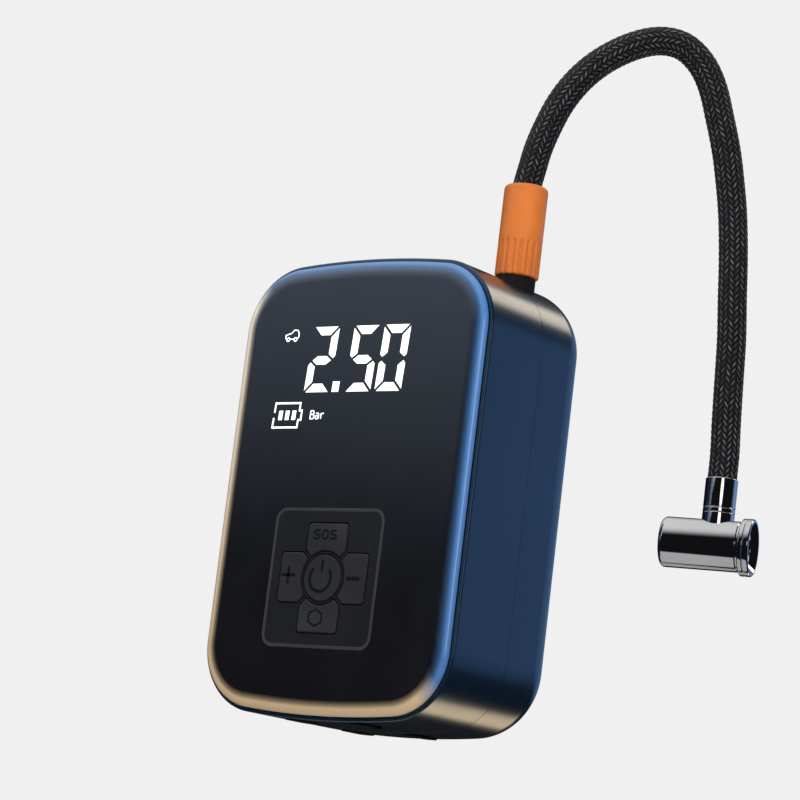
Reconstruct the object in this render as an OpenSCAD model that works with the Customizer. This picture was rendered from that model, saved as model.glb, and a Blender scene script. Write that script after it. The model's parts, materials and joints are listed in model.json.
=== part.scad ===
// Cordless portable tire inflator: a rounded upright case with a glossy front
// panel, a motor-driven piston pump inside, and a short braided hose that ends
// in a push-on valve chuck.
// The origin is the middle of the case's footprint on the surface it stands on.
// +Z is up and the front panel faces -Y.

/* [Case] */
// Width of the case
body_w = 94; // [93.5:0.5:96]
// Height of the case, feet included
body_h = 140; // [140:0.5:141]
// Depth from the front panel to the back
body_d = 55; // [55:0.5:57]
// Radius of the four corners of the front outline
corner_r = 21; // [20.5:0.5:22]
// Radius of the gentle crown along the top and bottom edges
crown_r = 300; // [280:10:320]
// Rounding around the back edge
back_round = 12; // [11:0.5:12]
// Wall thickness of the case halves
wall = 2.2; // [2:0.1:2.3]

/* [Keypad] */
// Width of the keypad window
pad_w = 41.5; // [40.5:0.5:42]
// Height of the keypad window
pad_h = 42; // [41:0.5:42]
// Radius of the round power button
power_r = 7; // [6.8:0.1:7.1]
// How far the buttons stand proud of the panel
button_proud = 0.3; // [0.2:0.1:0.4]

/* [Pump] */
// Throw of the crank, half the piston's stroke
crank_throw = 6; // [5:0.5:6]
// Radius of the cylinder bore
bore_r = 9; // [9:0.1:9.2]

/* [Hose] */
// Outer diameter of the braided hose
hose_d = 8.6; // [8.4:0.1:8.8]
// Radius of the orange collar
collar_r = 6.7; // [6.7:0.1:7]
// Radius of the chuck barrel
barrel_r = 7.6; // [7.5:0.05:7.8]
// Radius of the seal's bore, which takes a tire valve
valve_r = 3.9; // [3.85:0.05:4]

/* [Hidden] */

$fn = 48;
fit = 0.05;          // radial clearance of a running fit
gap = 0.3;           // clearance between pieces that move past each other

// Depth stations of the case, front to back
front_y = -body_d / 2;
back_y = body_d / 2;
panel_back_y = front_y + 2.4;
lip_y = panel_back_y + 0.4;
frame_back_y = panel_back_y + 1.4;
split_y = 1;
split_gap = 0.2;
foot_h = 0.1;        // lowest point of the case above the surface it stands on
seam_inset = 1.3;    // the panel stops this far inside the case outline
corner_steps = 10;
crown_steps = 6;
round_steps = 6;
edge_w = 5.2;        // the panel's rounded edge, measured along its face
edge_d = 2;          // the same edge, measured front to back
edge_steps = 8;

// Electronics
pcb_t = 1.6;
pcb_front_y = front_y + 6.9;
pcb_back_y = pcb_front_y + pcb_t;
display_x = -4;
display_z = 102;
display_w = 56;
display_h = 40;
usb_z = 60;

// Keypad
pad_x = -2.5;
pad_z = 42;
pad_corner = 4;
ring_w = 1;
arm_w = 15;          // width of the four outer buttons
arm_inner = 5.7;     // the outer buttons' reach from the keypad's middle
arm_outer = 16.4;
arm_hollow_r = power_r + 1.2;
arm_apart = 1;       // offset of the buttons' cut corners from the diagonals
button_back_y = front_y + 3.6;
button_lip = 0.7;
button_lip_t = 0.9;

// Light on the top
light_x = -12;
light_y = -12;
light_w = 26;
light_d = 9;

// Battery
cell_r = 9.25;
cell_h = 65;
cell_pitch = 19.2;
cell_y = 12;
cell_z = 10;

// Pump train: the crank turns about Y, and the motor lies beside it
gear_module = 0.8;
pinion_teeth = 12;
crank_teeth = 54;
crank_x = 18;
crank_z = 89;
mesh_angle = 170;
centre_distance = gear_module * (pinion_teeth + crank_teeth) / 2;
motor_x = crank_x + centre_distance * cos(mesh_angle);
motor_z = crank_z + centre_distance * sin(mesh_angle);
motor_r = 13.5;
motor_l = 25;
shaft_r = 1.15;
gear_y = -15;
gear_t = 4;
plate_y = -10;
plate_t = 3;
plate_back = plate_y + plate_t;
plate_w = 89;
notch_w = 19;        // opening in the bulkhead's top edge for the cylinder
plate_z0 = 74;
plate_z1 = 110;
pass_x = 34;         // the bulkhead's wire holes
pass_low_z = 77;
pass_high_z = 101;
motor_y = plate_back;
motor_back_y = motor_y + motor_l;
crank_shaft_r = 2.45;
disc_y = motor_y + 1;
disc_t = 4;
disc_r = 9.5;
pin_r = 1.5;
pump_y = 3;
rod_t = 6;
rod_eye_r = 5.5;
rod_bore_r = 3.6;
piston_r = bore_r - fit;
piston_top = 115.4;
piston_t = 4;
cylinder_bottom = 99;
cylinder_top = 116;
cylinder_r = bore_r + 2.5;
flange_r = 16;
head_bolt_r = 13.6;
gasket_t = 0.6;
head_z = cylinder_top + gasket_t;
head_flange_top = 121;
head_top = 129.5;
dome_r = 9;
spout_r = 2.6;
spout_z = 125.3;
sensor_x = 27;
sensor_top = 115;

// Hose fitting: a union nut on a threaded port
port_x = 33;
port_y = pump_y;
port_r = 5;
seat_r = 5.9;        // grommet between the port and the case
seat_bottom = 130;
port_bottom = 121.4;
port_top = 146;
collar_bottom = 139.5;
collar_top = 168;
collar_bore_r = port_r + fit;
nut_shoulder = 149;
spigot_r = 4.1;
spigot_top = 162;
flute_count = 18;
flute_h = 11;

// Hose route in its own upright plane: distance from the port's axis, height
hose_r = hose_d / 2;
hose_turn = 38;
hose_sides = 12;
HOSE_ROUTE = [
    [0, 162], [0, 168], [1, 174], [2, 180], [4, 187], [7, 195],
    [11, 202], [16, 208], [22, 213], [29, 217], [36, 219], [43, 218],
    [49, 213], [53, 206], [56, 197], [59, 187], [61, 178], [63, 167],
    [64.5, 154], [65.5, 141], [66.5, 129], [67, 116], [67.5, 103], [68, 94],
    [68, 86]
];
hose_end = HOSE_ROUTE[len(HOSE_ROUTE) - 1];
hose_points = [
    for (p = HOSE_ROUTE)
    [port_x + p[0] * cos(hose_turn), port_y + p[0] * sin(hose_turn), p[1]]
];

// Chuck: the barrel lies level under the hose's end, its mouth towards +X
chuck_x = port_x + hose_end[0] * cos(hose_turn);
chuck_y = port_y + hose_end[0] * sin(hose_turn);
chuck_z = 66;
chuck_turn = 20;
barrel_back = -14.2;
barrel_front = 8;
nose_front = 11.5;
nose_r = 8.6;
neck_r = 4.95;       // collar where the hose meets the barrel
neck_top = 75.6;
seal_r = 6.1;
seal_back = 1.5;
stem_r = 3.5;
stem_top = 81;
poppet_r = 4.3;
pin_tip = 0.8;

// ---- Shared shapes ----

// Points of an arc from angle a0 to a1 in the given number of steps
function arc(cx, cz, r, a0, a1, steps) =
    [for (i = [0:steps]) let (a = a0 + (a1 - a0) * i / steps) [cx + r * cos(a), cz + r * sin(a)]];

// The same arc without its two end points
function inner_arc(cx, cz, r, a0, a1, steps) =
    [for (i = [1:steps - 1]) let (a = a0 + (a1 - a0) * i / steps) [cx + r * cos(a), cz + r * sin(a)]];

// Front outline of the case, moved inwards by inset
function outline(inset) =
    let (
        a = body_w / 2 - inset,
        r = corner_r - inset,
        rc = crown_r - inset,
        tilt = asin((a - r) / (rc - r)),
        drop = rc - (rc - r) * cos(tilt),
        top = body_h - inset,
        bottom = foot_h + inset
    )
    concat(
        arc(a - r, top - drop, r, 0, 90 - tilt, corner_steps),
        inner_arc(0, top - rc, rc, 90 - tilt, 90 + tilt, crown_steps),
        arc(r - a, top - drop, r, 90 + tilt, 180, corner_steps),
        arc(r - a, bottom + drop, r, 180, 270 - tilt, corner_steps),
        inner_arc(0, bottom + rc, rc, 270 - tilt, 270 + tilt, crown_steps),
        arc(a - r, bottom + drop, r, 270 + tilt, 360, corner_steps)
    );

// Height of the case's top surface above a point at distance x from the middle
function top_z(x) = body_h - crown_r + sqrt(crown_r * crown_r - x * x);

// Height of the case's underside at distance x from the middle
function bottom_z(x) = foot_h + crown_r - sqrt(crown_r * crown_r - x * x);

// Straight prism of the case outline between two depths
module slab(inset, y0, y1)
    translate([0, y1, 0])
        rotate([90, 0, 0])
            linear_extrude(y1 - y0)
                polygon(outline(inset));

// Solid through a list of closed rings that all have the same number of points
module skin(rings) {
    n = len(rings[0]);
    m = len(rings);
    polyhedron(
        points = [for (ring = rings) for (p = ring) p],
        faces = concat(
            [[for (i = [0:n - 1]) i]],
            [
                for (k = [0:m - 2], i = [0:n - 1])
                let (
                    a = k * n + i,
                    b = k * n + (i + 1) % n
                )
                each [[a, a + n, b + n], [a, b + n, b]]
            ],
            [[for (i = [n - 1:-1:0]) (m - 1) * n + i]]
        )
    );
}

function reversed(points) = [for (i = [len(points) - 1:-1:0]) points[i]];

// Ring of the case outline at one [inset, depth] station
function station_ring(s) = [for (p = reversed(outline(s[0]))) [p[0], s[1], p[1]]];

// Case solid through a list of [inset, depth] stations, front to back
module case_loft(stations)
    skin([for (s = stations) station_ring(s)]);

function unit(v) = v / norm(v);

// Direction of a route at point i
function heading(route, i) =
    unit(route[min(i + 1, len(route) - 1)] - route[max(i - 1, 0)]);

// Round tube swept along a route; side is never parallel to the route
module sweep(route, r, sides, side)
    skin([
        for (i = [0:len(route) - 1])
        let (
            t = heading(route, i),
            u = unit(cross(t, side)),
            v = cross(t, u)
        )
        [for (k = [0:sides - 1]) let (a = -360 * k / sides) route[i] + r * (cos(a) * u + sin(a) * v)]
    ]);

// Rectangle with round corners, centred
module round_rect(w, h, r) {
    square([w - 2 * r, h], center = true);
    square([w, h - 2 * r], center = true);
    for (x = [-1, 1], y = [-1, 1])
        translate([x * (w / 2 - r), y * (h / 2 - r)])
            circle(r);
}

// Extrudes a shape drawn in the XZ plane from depth y0 to depth y1
module deep(y0, y1)
    translate([0, y1, 0])
        rotate([90, 0, 0])
            linear_extrude(y1 - y0)
                children();

// Cylinder along Y from depth y0 to depth y1
module rod_y(x, z, r, y0, y1)
    translate([x, y1, z])
        rotate([90, 0, 0])
            cylinder(r = r, h = y1 - y0);

// Ring along Y
module ring_y(x, z, r, hole_r, y0, y1)
    difference() {
        rod_y(x, z, r, y0, y1);
        rod_y(x, z, hole_r, y0 - 1, y1 + 1);
    }

// Vertical cylinder from z0 to z1
module post(x, y, r, z0, z1)
    translate([x, y, z0])
        cylinder(r = r, h = z1 - z0);

// Box between two corners
module box(lo, hi)
    translate(lo)
        cube(hi - lo);

// Places a shape whose own Z axis is the chuck barrel's axis
module at_chuck()
    translate([chuck_x, chuck_y, chuck_z])
        rotate([0, 0, chuck_turn])
            rotate([0, 90, 0])
                children();

// Cylinder along the chuck barrel's axis
module barrel(r, u0, u1)
    translate([0, 0, u0])
        cylinder(r = r, h = u1 - u0);

// ---- Front ----

// Tinted front panel with an edge that rounds back into the case
module front_panel() {
    stations = concat(
        [
            for (i = [edge_steps:-1:0])
            let (a = 90 * i / edge_steps)
            [seam_inset + edge_w * (1 - cos(a)), front_y + edge_d * (1 - sin(a))]
        ],
        [[seam_inset, panel_back_y]]
    );
    color("#20242b")
        difference() {
            case_loft(stations);
            deep(front_y - 1, panel_back_y + 1)
                translate([pad_x, pad_z])
                    round_rect(pad_w, pad_h, pad_corner);
        }
}

// Inner frame that carries the panel and the keypad
module front_frame() {
    color("#151618")
        difference() {
            slab(2.6, panel_back_y, frame_back_y);
            box([display_x - display_w / 2 + 2, panel_back_y - 1, display_z - display_h / 2 + 2],
                [display_x + display_w / 2 - 2, frame_back_y + 1, display_z + display_h / 2 - 2]);
            deep(panel_back_y - 1, frame_back_y + 1)
                translate([pad_x, pad_z])
                    round_rect(pad_w - 4, pad_h - 4, pad_corner - 1);
        }
}

// Thin grey trim around the keypad
module keypad_ring() {
    color("#4a4c50")
        deep(front_y - 0.1, panel_back_y)
            translate([pad_x, pad_z])
                difference() {
                    round_rect(pad_w, pad_h, pad_corner);
                    round_rect(pad_w - 2 * ring_w, pad_h - 2 * ring_w, pad_corner - ring_w);
                }
}

// Outline of the outer button on the keypad's right side, widened by grow.
// A wedge cuts its inner corners along the diagonals, clear of its neighbours.
module arm_shape(grow) {
    apex = arm_apart - grow * sqrt(2);
    difference() {
        intersection() {
            translate([(arm_inner + arm_outer) / 2, 0])
                round_rect(arm_outer - arm_inner + 2 * grow, arm_w + 2 * grow, 1.2);
            polygon([[apex, 0], [apex + 20, 20], [apex + 20, -20]]);
        }
        circle(arm_hollow_r - grow);
    }
}

// Keypad plate with one window for each button
module keypad_plate() {
    color("#17181a")
        deep(front_y, panel_back_y)
            translate([pad_x, pad_z])
                difference() {
                    round_rect(pad_w - 2 * ring_w, pad_h - 2 * ring_w, pad_corner - ring_w);
                    circle(power_r + gap);
                    for (a = [0:90:270])
                        rotate(a)
                            arm_shape(gap);
                }
}

// Cap of one outer button, turned to its side of the keypad
module arm_button(angle) {
    color("#1d1e21") {
        deep(front_y - button_proud, button_back_y)
            translate([pad_x, pad_z])
                rotate(angle)
                    arm_shape(0);
        deep(button_back_y - button_lip_t, button_back_y)
            translate([pad_x, pad_z])
                rotate(angle)
                    translate([(arm_hollow_r + arm_outer + button_lip) / 2, 0])
                        square([arm_outer + button_lip - arm_hollow_r, arm_w - 6], center = true);
    }
}

module button_minus()
    arm_button(0);

module button_light()
    arm_button(90);

module button_plus()
    arm_button(180);

module button_mode()
    arm_button(270);

module button_power() {
    color("#1d1e21")
        rod_y(pad_x, pad_z, power_r, front_y - button_proud, button_back_y);
}

// Rubber sheet behind the buttons
module keypad_membrane() {
    color("#2b2c2e")
        box([pad_x - 18, front_y + 4.4, pad_z - 18.5], [pad_x + 18, front_y + 5.2, pad_z + 18.5]);
}

// Five dome switches on the board
module tact_switches() {
    color("#8d9094")
        for (p = [[0, 0], [12, 0], [0, 12], [-12, 0], [0, -12]])
            translate([pad_x + p[0], 0, pad_z + p[1]]) {
                box([-3, front_y + 5.9, -3], [3, pcb_front_y, 3]);
                rod_y(0, 0, 1.7, front_y + 5.3, front_y + 5.9);
            }
}

module display_module() {
    color("#0c0d0f")
        box([display_x - display_w / 2, frame_back_y + 0.1, display_z - display_h / 2],
            [display_x + display_w / 2, pcb_front_y, display_z + display_h / 2]);
}

module main_pcb() {
    color("#1c5a3a") {
        deep(pcb_front_y, pcb_back_y)
            translate([0, 68])
                round_rect(72, 112, 6);
        for (c = [[-20, 30], [6, 34], [-22, 58]])
            box([c[0], pcb_back_y, c[1]], [c[0] + 9, pcb_back_y + 1.2, c[1] + 9]);
    }
}

// Charging receptacle on the back of the board, reaching the left wall
module usb_port() {
    color("#b9bcc0")
        difference() {
            box([0.4 - body_w / 2, pcb_back_y, usb_z - 4.5], [-36.5, pcb_back_y + 3.2, usb_z + 4.5]);
            box([-body_w / 2, pcb_back_y + 0.4, usb_z - 4], [-38, pcb_back_y + 2.8, usb_z + 4]);
        }
}

// ---- Case ----

screw_places = [[33, 20], [-33, 20], [36, 108], [-36, 108]];
boss_r = 3.8;
boss_l = 7.5;        // length of the housing's screw bosses
screw_pilot_r = 1.45;
screw_head_y = back_y - 7;
rib_t = 0.9;

// Screw boss with a web to the nearest side wall
module screw_boss(p, y0, y1) {
    web_x = [abs(p[0]) + boss_r - 0.5, body_w / 2 - 1];
    rod_y(p[0], p[1], boss_r, y0, y1);
    translate([sign(p[0]) * (web_x[0] + web_x[1]) / 2, (y0 + y1) / 2, p[1]])
        cube([web_x[1] - web_x[0], y1 - y0, 1.6], center = true);
}

// Hole in the top for the port and its grommet, shared by the two case halves
module port_hole()
    post(port_x, port_y, seat_r + 0.1, port_bottom - 1, body_h);

// Ribs that hold the pump's bulkhead on both side walls
module bulkhead_ribs() {
    for (side = [-1, 1], y = [plate_y - rib_t, plate_back])
        translate([side * (body_w / 2 - wall - 0.7), y + rib_t / 2, (plate_z0 + plate_z1) / 2])
            cube([2.2, rib_t, plate_z1 - plate_z0], center = true);
}

module main_housing() {
    color("#1f3a5c")
        difference() {
            union() {
                difference() {
                    slab(0, lip_y, split_y);
                    slab(wall, lip_y - 1, split_y + 1);
                }
                bulkhead_ribs();
                for (p = screw_places)
                    screw_boss(p, split_y - boss_l, split_y);
            }
            for (p = screw_places)
                rod_y(p[0], p[1], screw_pilot_r, split_y - boss_l + 1, split_y + 1);
            port_hole();
            box([-body_w, pcb_back_y - 0.4, usb_z - 4.9], [-43, pcb_back_y + 3.6, usb_z + 4.9]);
            translate([light_x, light_y, body_h - 8])
                linear_extrude(10)
                    round_rect(light_w + 0.2, light_d + 0.2, light_d / 2);
        }
}

module rear_cover() {
    outer = concat(
        [[0, split_y + split_gap]],
        [
            for (i = [0:round_steps])
            let (a = 90 * i / round_steps)
            [back_round * (1 - cos(a)), back_y - back_round * (1 - sin(a))]
        ]
    );
    inner_round = back_round - wall;
    inner = concat(
        [[wall, split_y]],
        [
            for (i = [0:round_steps])
            let (a = 90 * i / round_steps)
            [wall + inner_round * (1 - cos(a)), back_y - wall - inner_round * (1 - sin(a))]
        ]
    );
    color("#1f3a5c")
        difference() {
            union() {
                difference() {
                    case_loft(outer);
                    case_loft(inner);
                }
                for (p = screw_places)
                    rod_y(p[0], p[1], boss_r, split_y + split_gap, back_y - wall + 0.5);
            }
            for (p = screw_places) {
                rod_y(p[0], p[1], screw_pilot_r + 0.15, split_y, back_y + 1);
                rod_y(p[0], p[1], 2.9, screw_head_y - 0.1, back_y + 1);
            }
            port_hole();
            for (i = [-4:4])
                translate([motor_x, back_y, motor_z + 3.2 * i])
                    cube([22, 8, 1.5], center = true);
        }
}

// Cross-headed screws that hold the rear cover
module rear_screws() {
    color("#2f3033")
        for (p = screw_places)
            difference() {
                union() {
                    rod_y(p[0], p[1], screw_pilot_r, split_y - boss_l + 1.5, screw_head_y);
                    rod_y(p[0], p[1], 2.7, screw_head_y, screw_head_y + 2);
                }
                for (a = [0, 90])
                    translate([p[0], screw_head_y + 2, p[1]])
                        rotate([0, a, 0])
                            cube([3, 2.4, 0.6], center = true);
            }
}

// Four low rubber feet that level the crowned underside
module feet() {
    color("#18191a")
        for (x = [-12, 12], y = [-17, 10])
            difference() {
                translate([x, y, 0])
                    linear_extrude(bottom_z(17) + 0.2)
                        round_rect(6, 12, 2.5);
                slab(0, y - 10, y + 10);
            }
}

// Lamp window let into the top
module light_lens() {
    color("#e6edf2")
        translate([light_x, light_y, 134.5])
            linear_extrude(top_z(light_x) - 134.5 - 0.3)
                round_rect(light_w, light_d, light_d / 2 - 0.05);
}

module light_board() {
    color("#f3f1ea") {
        box([light_x - 12, light_y - 3.8, 131.4], [light_x + 12, light_y + 3.8, 132.6]);
        for (i = [-1:1])
            box([light_x + 8 * i - 1.5, light_y - 1.5, 132.6],
                [light_x + 8 * i + 1.5, light_y + 1.5, 133.8]);
    }
}

// ---- Battery ----

module battery_cell(i)
    color("#2f7d5b") {
        post(cell_pitch * i, cell_y, cell_r, cell_z, cell_z + cell_h - 1);
        post(cell_pitch * i, cell_y, 2.6, cell_z + cell_h - 1, cell_z + cell_h);
    }

module battery_cell_1()
    battery_cell(-1);

module battery_cell_2()
    battery_cell(0);

module battery_cell_3()
    battery_cell(1);

module battery_holder() {
    front = cell_y - cell_r + 0.5;
    back = cell_y + cell_r;
    color("#26282b") {
        box([-27, front, cell_z - 1.7], [27, back + 1.6, cell_z - 0.3]);
        box([-27, front, cell_z + cell_h + 0.3], [27, back + 1.6, cell_z + cell_h + 1.9]);
        box([-27, back + 0.2, cell_z - 1.7], [27, back + 1.6, cell_z + cell_h + 1.9]);
    }
}

// Nickel strips welded to the ends of the cells
module cell_tabs() {
    color("#c9cbcd") {
        box([-24, cell_y - 3, cell_z - 0.3], [5, cell_y + 3, cell_z]);
        box([15, cell_y - 3, cell_z - 0.3], [24, cell_y + 3, cell_z]);
        box([-24, cell_y - 3, cell_z + cell_h], [-15, cell_y + 3, cell_z + cell_h + 0.3]);
        box([-5, cell_y - 3, cell_z + cell_h], [24, cell_y + 3, cell_z + cell_h + 0.3]);
    }
}

// Insulated leads, battery to board and motor to board, through the bulkhead's holes
module wiring() {
    lead_r = 0.9;
    cell_top = cell_z + cell_h + 1.1;
    color("#b5322b")
        for (d = [-1, 1]) {
            sweep([
                [-27.1, cell_y - 1 - 2 * d, cell_top],
                [-29, cell_y - 1 - 2 * d, cell_top],
                [-32, cell_y - 4 - 2 * d, cell_top],
                [-pass_x + d, 2, pass_low_z],
                [-pass_x + d, plate_back, pass_low_z],
                [-pass_x + d, plate_y - 2, pass_low_z],
                [-pass_x + d, pcb_back_y + 0.1, pass_low_z]
            ], lead_r, 8, [0, 0, 1]);
            sweep([
                [motor_x - 9.6, motor_back_y + 1.2, motor_z + 4 * d],
                [motor_x - 14, motor_back_y + 1.2, motor_z + 4 * d],
                [motor_x - 17, motor_back_y - 1, motor_z + 4 * d],
                [motor_x - 23, motor_back_y - 10, motor_z + 7 + 2 * d],
                [-pass_x, -2, pass_high_z + d],
                [-pass_x, plate_y - 2, pass_high_z + d],
                [-pass_x, pcb_back_y + 0.1, pass_high_z + d]
            ], lead_r, 8, [0, 0, 1]);
        }
}

// ---- Motor ----

module motor_can() {
    color("#a9adb2")
        difference() {
            rod_y(motor_x, motor_z, motor_r, motor_y, motor_back_y - 3);
            rod_y(motor_x, motor_z, motor_r - 1.2, motor_y + 1.5, motor_back_y - 2);
            rod_y(motor_x, motor_z, shaft_r + fit, motor_y - 1, motor_back_y);
        }
}

module motor_endcap() {
    color("#e4e2da")
        difference() {
            union() {
                rod_y(motor_x, motor_z, motor_r, motor_back_y - 3, motor_back_y);
                for (s = [-4, 4])
                    box([motor_x - 9.5, motor_back_y, motor_z + s - 1.5],
                        [motor_x - 6.5, motor_back_y + 1.4, motor_z + s + 1.5]);
            }
            rod_y(motor_x, motor_z, shaft_r + fit, motor_back_y - 4, motor_back_y + 1);
        }
}

// Two curved magnets glued inside the can
module motor_magnets() {
    y0 = motor_y + 4;
    y1 = motor_back_y - 6;
    color("#45474a")
        difference() {
            ring_y(motor_x, motor_z, motor_r - 1.2, motor_r - 3.4, y0, y1);
            box([motor_x - 3, y0 - 1, motor_z - motor_r], [motor_x + 3, y1 + 1, motor_z + motor_r]);
        }
}

// Slotted rotor with its commutator
module motor_armature() {
    y0 = motor_y + 4;
    y1 = motor_back_y - 8;
    color("#b0642c")
        difference() {
            union() {
                rod_y(motor_x, motor_z, motor_r - 3.9, y0, y1);
                rod_y(motor_x, motor_z, 3.4, y1, y1 + 4);
            }
            rod_y(motor_x, motor_z, shaft_r, y0 - 1, y1 + 5);
            for (a = [0:72:288])
                translate([motor_x, 0, motor_z])
                    rotate([0, a, 0])
                        box([-0.9, y0 - 1, 4.6], [0.9, y1 + 1, motor_r]);
        }
}

module motor_shaft() {
    color("#c4c7ca")
        rod_y(motor_x, motor_z, shaft_r, gear_y - 0.4, motor_back_y + 6.5);
}

// Six-bladed fan on the motor's back shaft
module cooling_fan() {
    y0 = motor_back_y + 2.2;
    y1 = motor_back_y + 6;
    color("#3a3d41")
        difference() {
            union() {
                rod_y(motor_x, motor_z, 4, y0, y1);
                for (a = [0:60:300])
                    translate([motor_x, (y0 + y1) / 2, motor_z])
                        rotate([0, a, 0])
                            translate([7, 0, 0])
                                rotate([35, 0, 0])
                                    cube([9, 1, 4], center = true);
            }
            rod_y(motor_x, motor_z, shaft_r, y0 - 2, y1 + 2);
        }
}

// ---- Gears and crank ----

pressure_angle = 20;
tooth_steps = 4;
addendum = 0.85;     // stub teeth, in modules
backlash = 0.1;      // play at the pitch circle, per tooth flank

// Involute function, in degrees
function involute(a) = tan(a) * 180 / PI - a;

// Flank points of one tooth, from root to tip, as [radius, half angle]
function flank(n) =
    let (
        r = n * gear_module / 2,
        base = r * cos(pressure_angle),
        root = r - 1.25 * gear_module,
        tip = r + addendum * gear_module,
        start = max(base, root),
        half = 90 / n - backlash / r * 180 / PI + involute(pressure_angle)
    )
    concat(
        root < base ? [[root, half]] : [],
        [
            for (i = [0:tooth_steps])
            let (q = start + (tip - start) * i / tooth_steps)
            [q, half - involute(acos(min(1, base / q)))]
        ]
    );

// Outline of a spur gear with its first tooth at angle 0
function gear_outline(n) =
    let (f = flank(n))
    [
        for (i = [0:n - 1])
        let (c = 360 * i / n)
        each concat(
            [for (p = f) [p[0] * cos(c - p[1]), p[0] * sin(c - p[1])]],
            [for (p = reversed(f)) [p[0] * cos(c + p[1]), p[0] * sin(c + p[1])]]
        )
    ];

// Motor pinion, turned so that a gap meets the crank gear's tooth
module pinion() {
    color("#d5b45a")
        difference() {
            translate([motor_x, 0, motor_z])
                deep(gear_y, gear_y + gear_t)
                    rotate(mesh_angle + 180 + 180 / pinion_teeth)
                        polygon(gear_outline(pinion_teeth));
            rod_y(motor_x, motor_z, shaft_r, gear_y - 1, gear_y + gear_t + 1);
        }
}

// Large gear on the crank shaft, with a thinned web and a ring of holes
module crank_gear() {
    color("#e9e6da")
        difference() {
            translate([crank_x, 0, crank_z])
                deep(gear_y, gear_y + gear_t)
                    rotate(mesh_angle)
                        polygon(gear_outline(crank_teeth));
            rod_y(crank_x, crank_z, crank_shaft_r, gear_y - 1, gear_y + gear_t + 1);
            ring_y(crank_x, crank_z, 18.4, 6, gear_y - 1, gear_y + 1);
            for (a = [0:60:300])
                rod_y(crank_x + 12 * cos(a), crank_z + 12 * sin(a), 3.4, gear_y, gear_y + gear_t + 1);
        }
}

// Crank shaft and its disc, with a flat-topped counterweight
module crank_shaft() {
    color("#9da1a6")
        difference() {
            union() {
                rod_y(crank_x, crank_z, crank_shaft_r, gear_y - 0.4, disc_y + 1);
                rod_y(crank_x, crank_z, disc_r, disc_y, disc_y + disc_t);
            }
            rod_y(crank_x, crank_z + crank_throw, pin_r, disc_y - 1, disc_y + disc_t + 1);
            for (s = [-1, 1])
                box([crank_x + 6.2 * s - 2.2, disc_y - 1, crank_z + 2],
                    [crank_x + 6.2 * s + 2.2, disc_y + disc_t + 1, crank_z + 12]);
        }
}

// Pin pressed into the crank disc; it stops just short of the rod's eye
module crank_pin() {
    color("#d8dadd")
        rod_y(crank_x, crank_z + crank_throw, pin_r, disc_y, pump_y - rod_t / 2 - gap);
}

module crank_bearing() {
    color("#b7babd")
        ring_y(crank_x, crank_z, 5, crank_shaft_r + fit, plate_y, plate_back);
}

// Bulkhead across the case that carries the motor and the crank
module gearbox_frame() {
    color("#8f949a")
        difference() {
            box([-plate_w / 2, plate_y, plate_z0], [plate_w / 2, plate_back, plate_z1]);
            box([crank_x - notch_w / 2, plate_y - 1, cylinder_bottom - 0.4],
                [crank_x + notch_w / 2, plate_back + 1, plate_z1 + 1]);
            rod_y(crank_x, crank_z, 5, plate_y - 1, plate_back + 1);
            rod_y(motor_x, motor_z, 3.2, plate_y - 1, plate_back + 1);
            for (x = [-pass_x, pass_x], z = [pass_low_z, pass_high_z])
                rod_y(x, z, 2.5, plate_y - 1, plate_back + 1);
        }
}

// ---- Pump ----

// Rod and piston crown in one piece, as in a wobble-piston pump, at top dead centre
module connecting_rod() {
    eye_z = crank_z + crank_throw;
    groove_z = piston_top - 2.8;
    color("#cfd2d5")
        difference() {
            union() {
                rod_y(crank_x, eye_z, rod_eye_r, pump_y - rod_t / 2, pump_y + rod_t / 2);
                box([crank_x - 2.5, pump_y - 2.5, eye_z + 4],
                    [crank_x + 2.5, pump_y + 2.5, piston_top - piston_t + 1]);
                post(crank_x, pump_y, piston_r, piston_top - piston_t, piston_top);
            }
            rod_y(crank_x, eye_z, rod_bore_r, pump_y - rod_t, pump_y + rod_t);
            difference() {
                post(crank_x, pump_y, bore_r + 1, groove_z, groove_z + 1.4);
                post(crank_x, pump_y, piston_r - 1.4, groove_z - 1, groove_z + 2.4);
            }
        }
}

// Bearing in the rod's eye, which the crank pin would run in
module rod_bearing() {
    color("#b7babd")
        ring_y(crank_x, crank_z + crank_throw, rod_bore_r, pin_r + fit,
               pump_y - rod_t / 2, pump_y + rod_t / 2);
}

module piston_seal() {
    groove_z = piston_top - 2.8;
    color("#2a2a2a")
        difference() {
            post(crank_x, pump_y, piston_r + 0.02, groove_z, groove_z + 1.4);
            post(crank_x, pump_y, piston_r - 1.4, groove_z - 1, groove_z + 2.4);
        }
}

// Four places around the cylinder axis for the head's screws
module head_bolts()
    for (a = [45:90:315])
        translate([crank_x + head_bolt_r * cos(a), pump_y + head_bolt_r * sin(a), 0])
            children();

// Flange that seats the cylinder on the bulkhead, either side of its notch
module cylinder_foot()
    box([crank_x - 13, plate_back, cylinder_bottom], [crank_x + 13, pump_y, cylinder_bottom + 3]);

module cylinder_barrel() {
    post(crank_x, pump_y, cylinder_r, cylinder_bottom, cylinder_top);
    post(crank_x, pump_y, flange_r, cylinder_top - 2.5, cylinder_top);
    for (i = [0:2])
        post(crank_x, pump_y, cylinder_r + 1.6, cylinder_top - 6 - 3.2 * i, cylinder_top - 4.8 - 3.2 * i);
}

// Finned cylinder, bolted to the bulkhead by its foot
module pump_cylinder() {
    color("#b9bdc1")
        difference() {
            union() {
                cylinder_barrel();
                cylinder_foot();
            }
            post(crank_x, pump_y, bore_r, cylinder_bottom - 1, cylinder_top + 1);
            head_bolts()
                post(0, 0, 1.1, cylinder_top - 3, cylinder_top + 1);
        }
}

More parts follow.
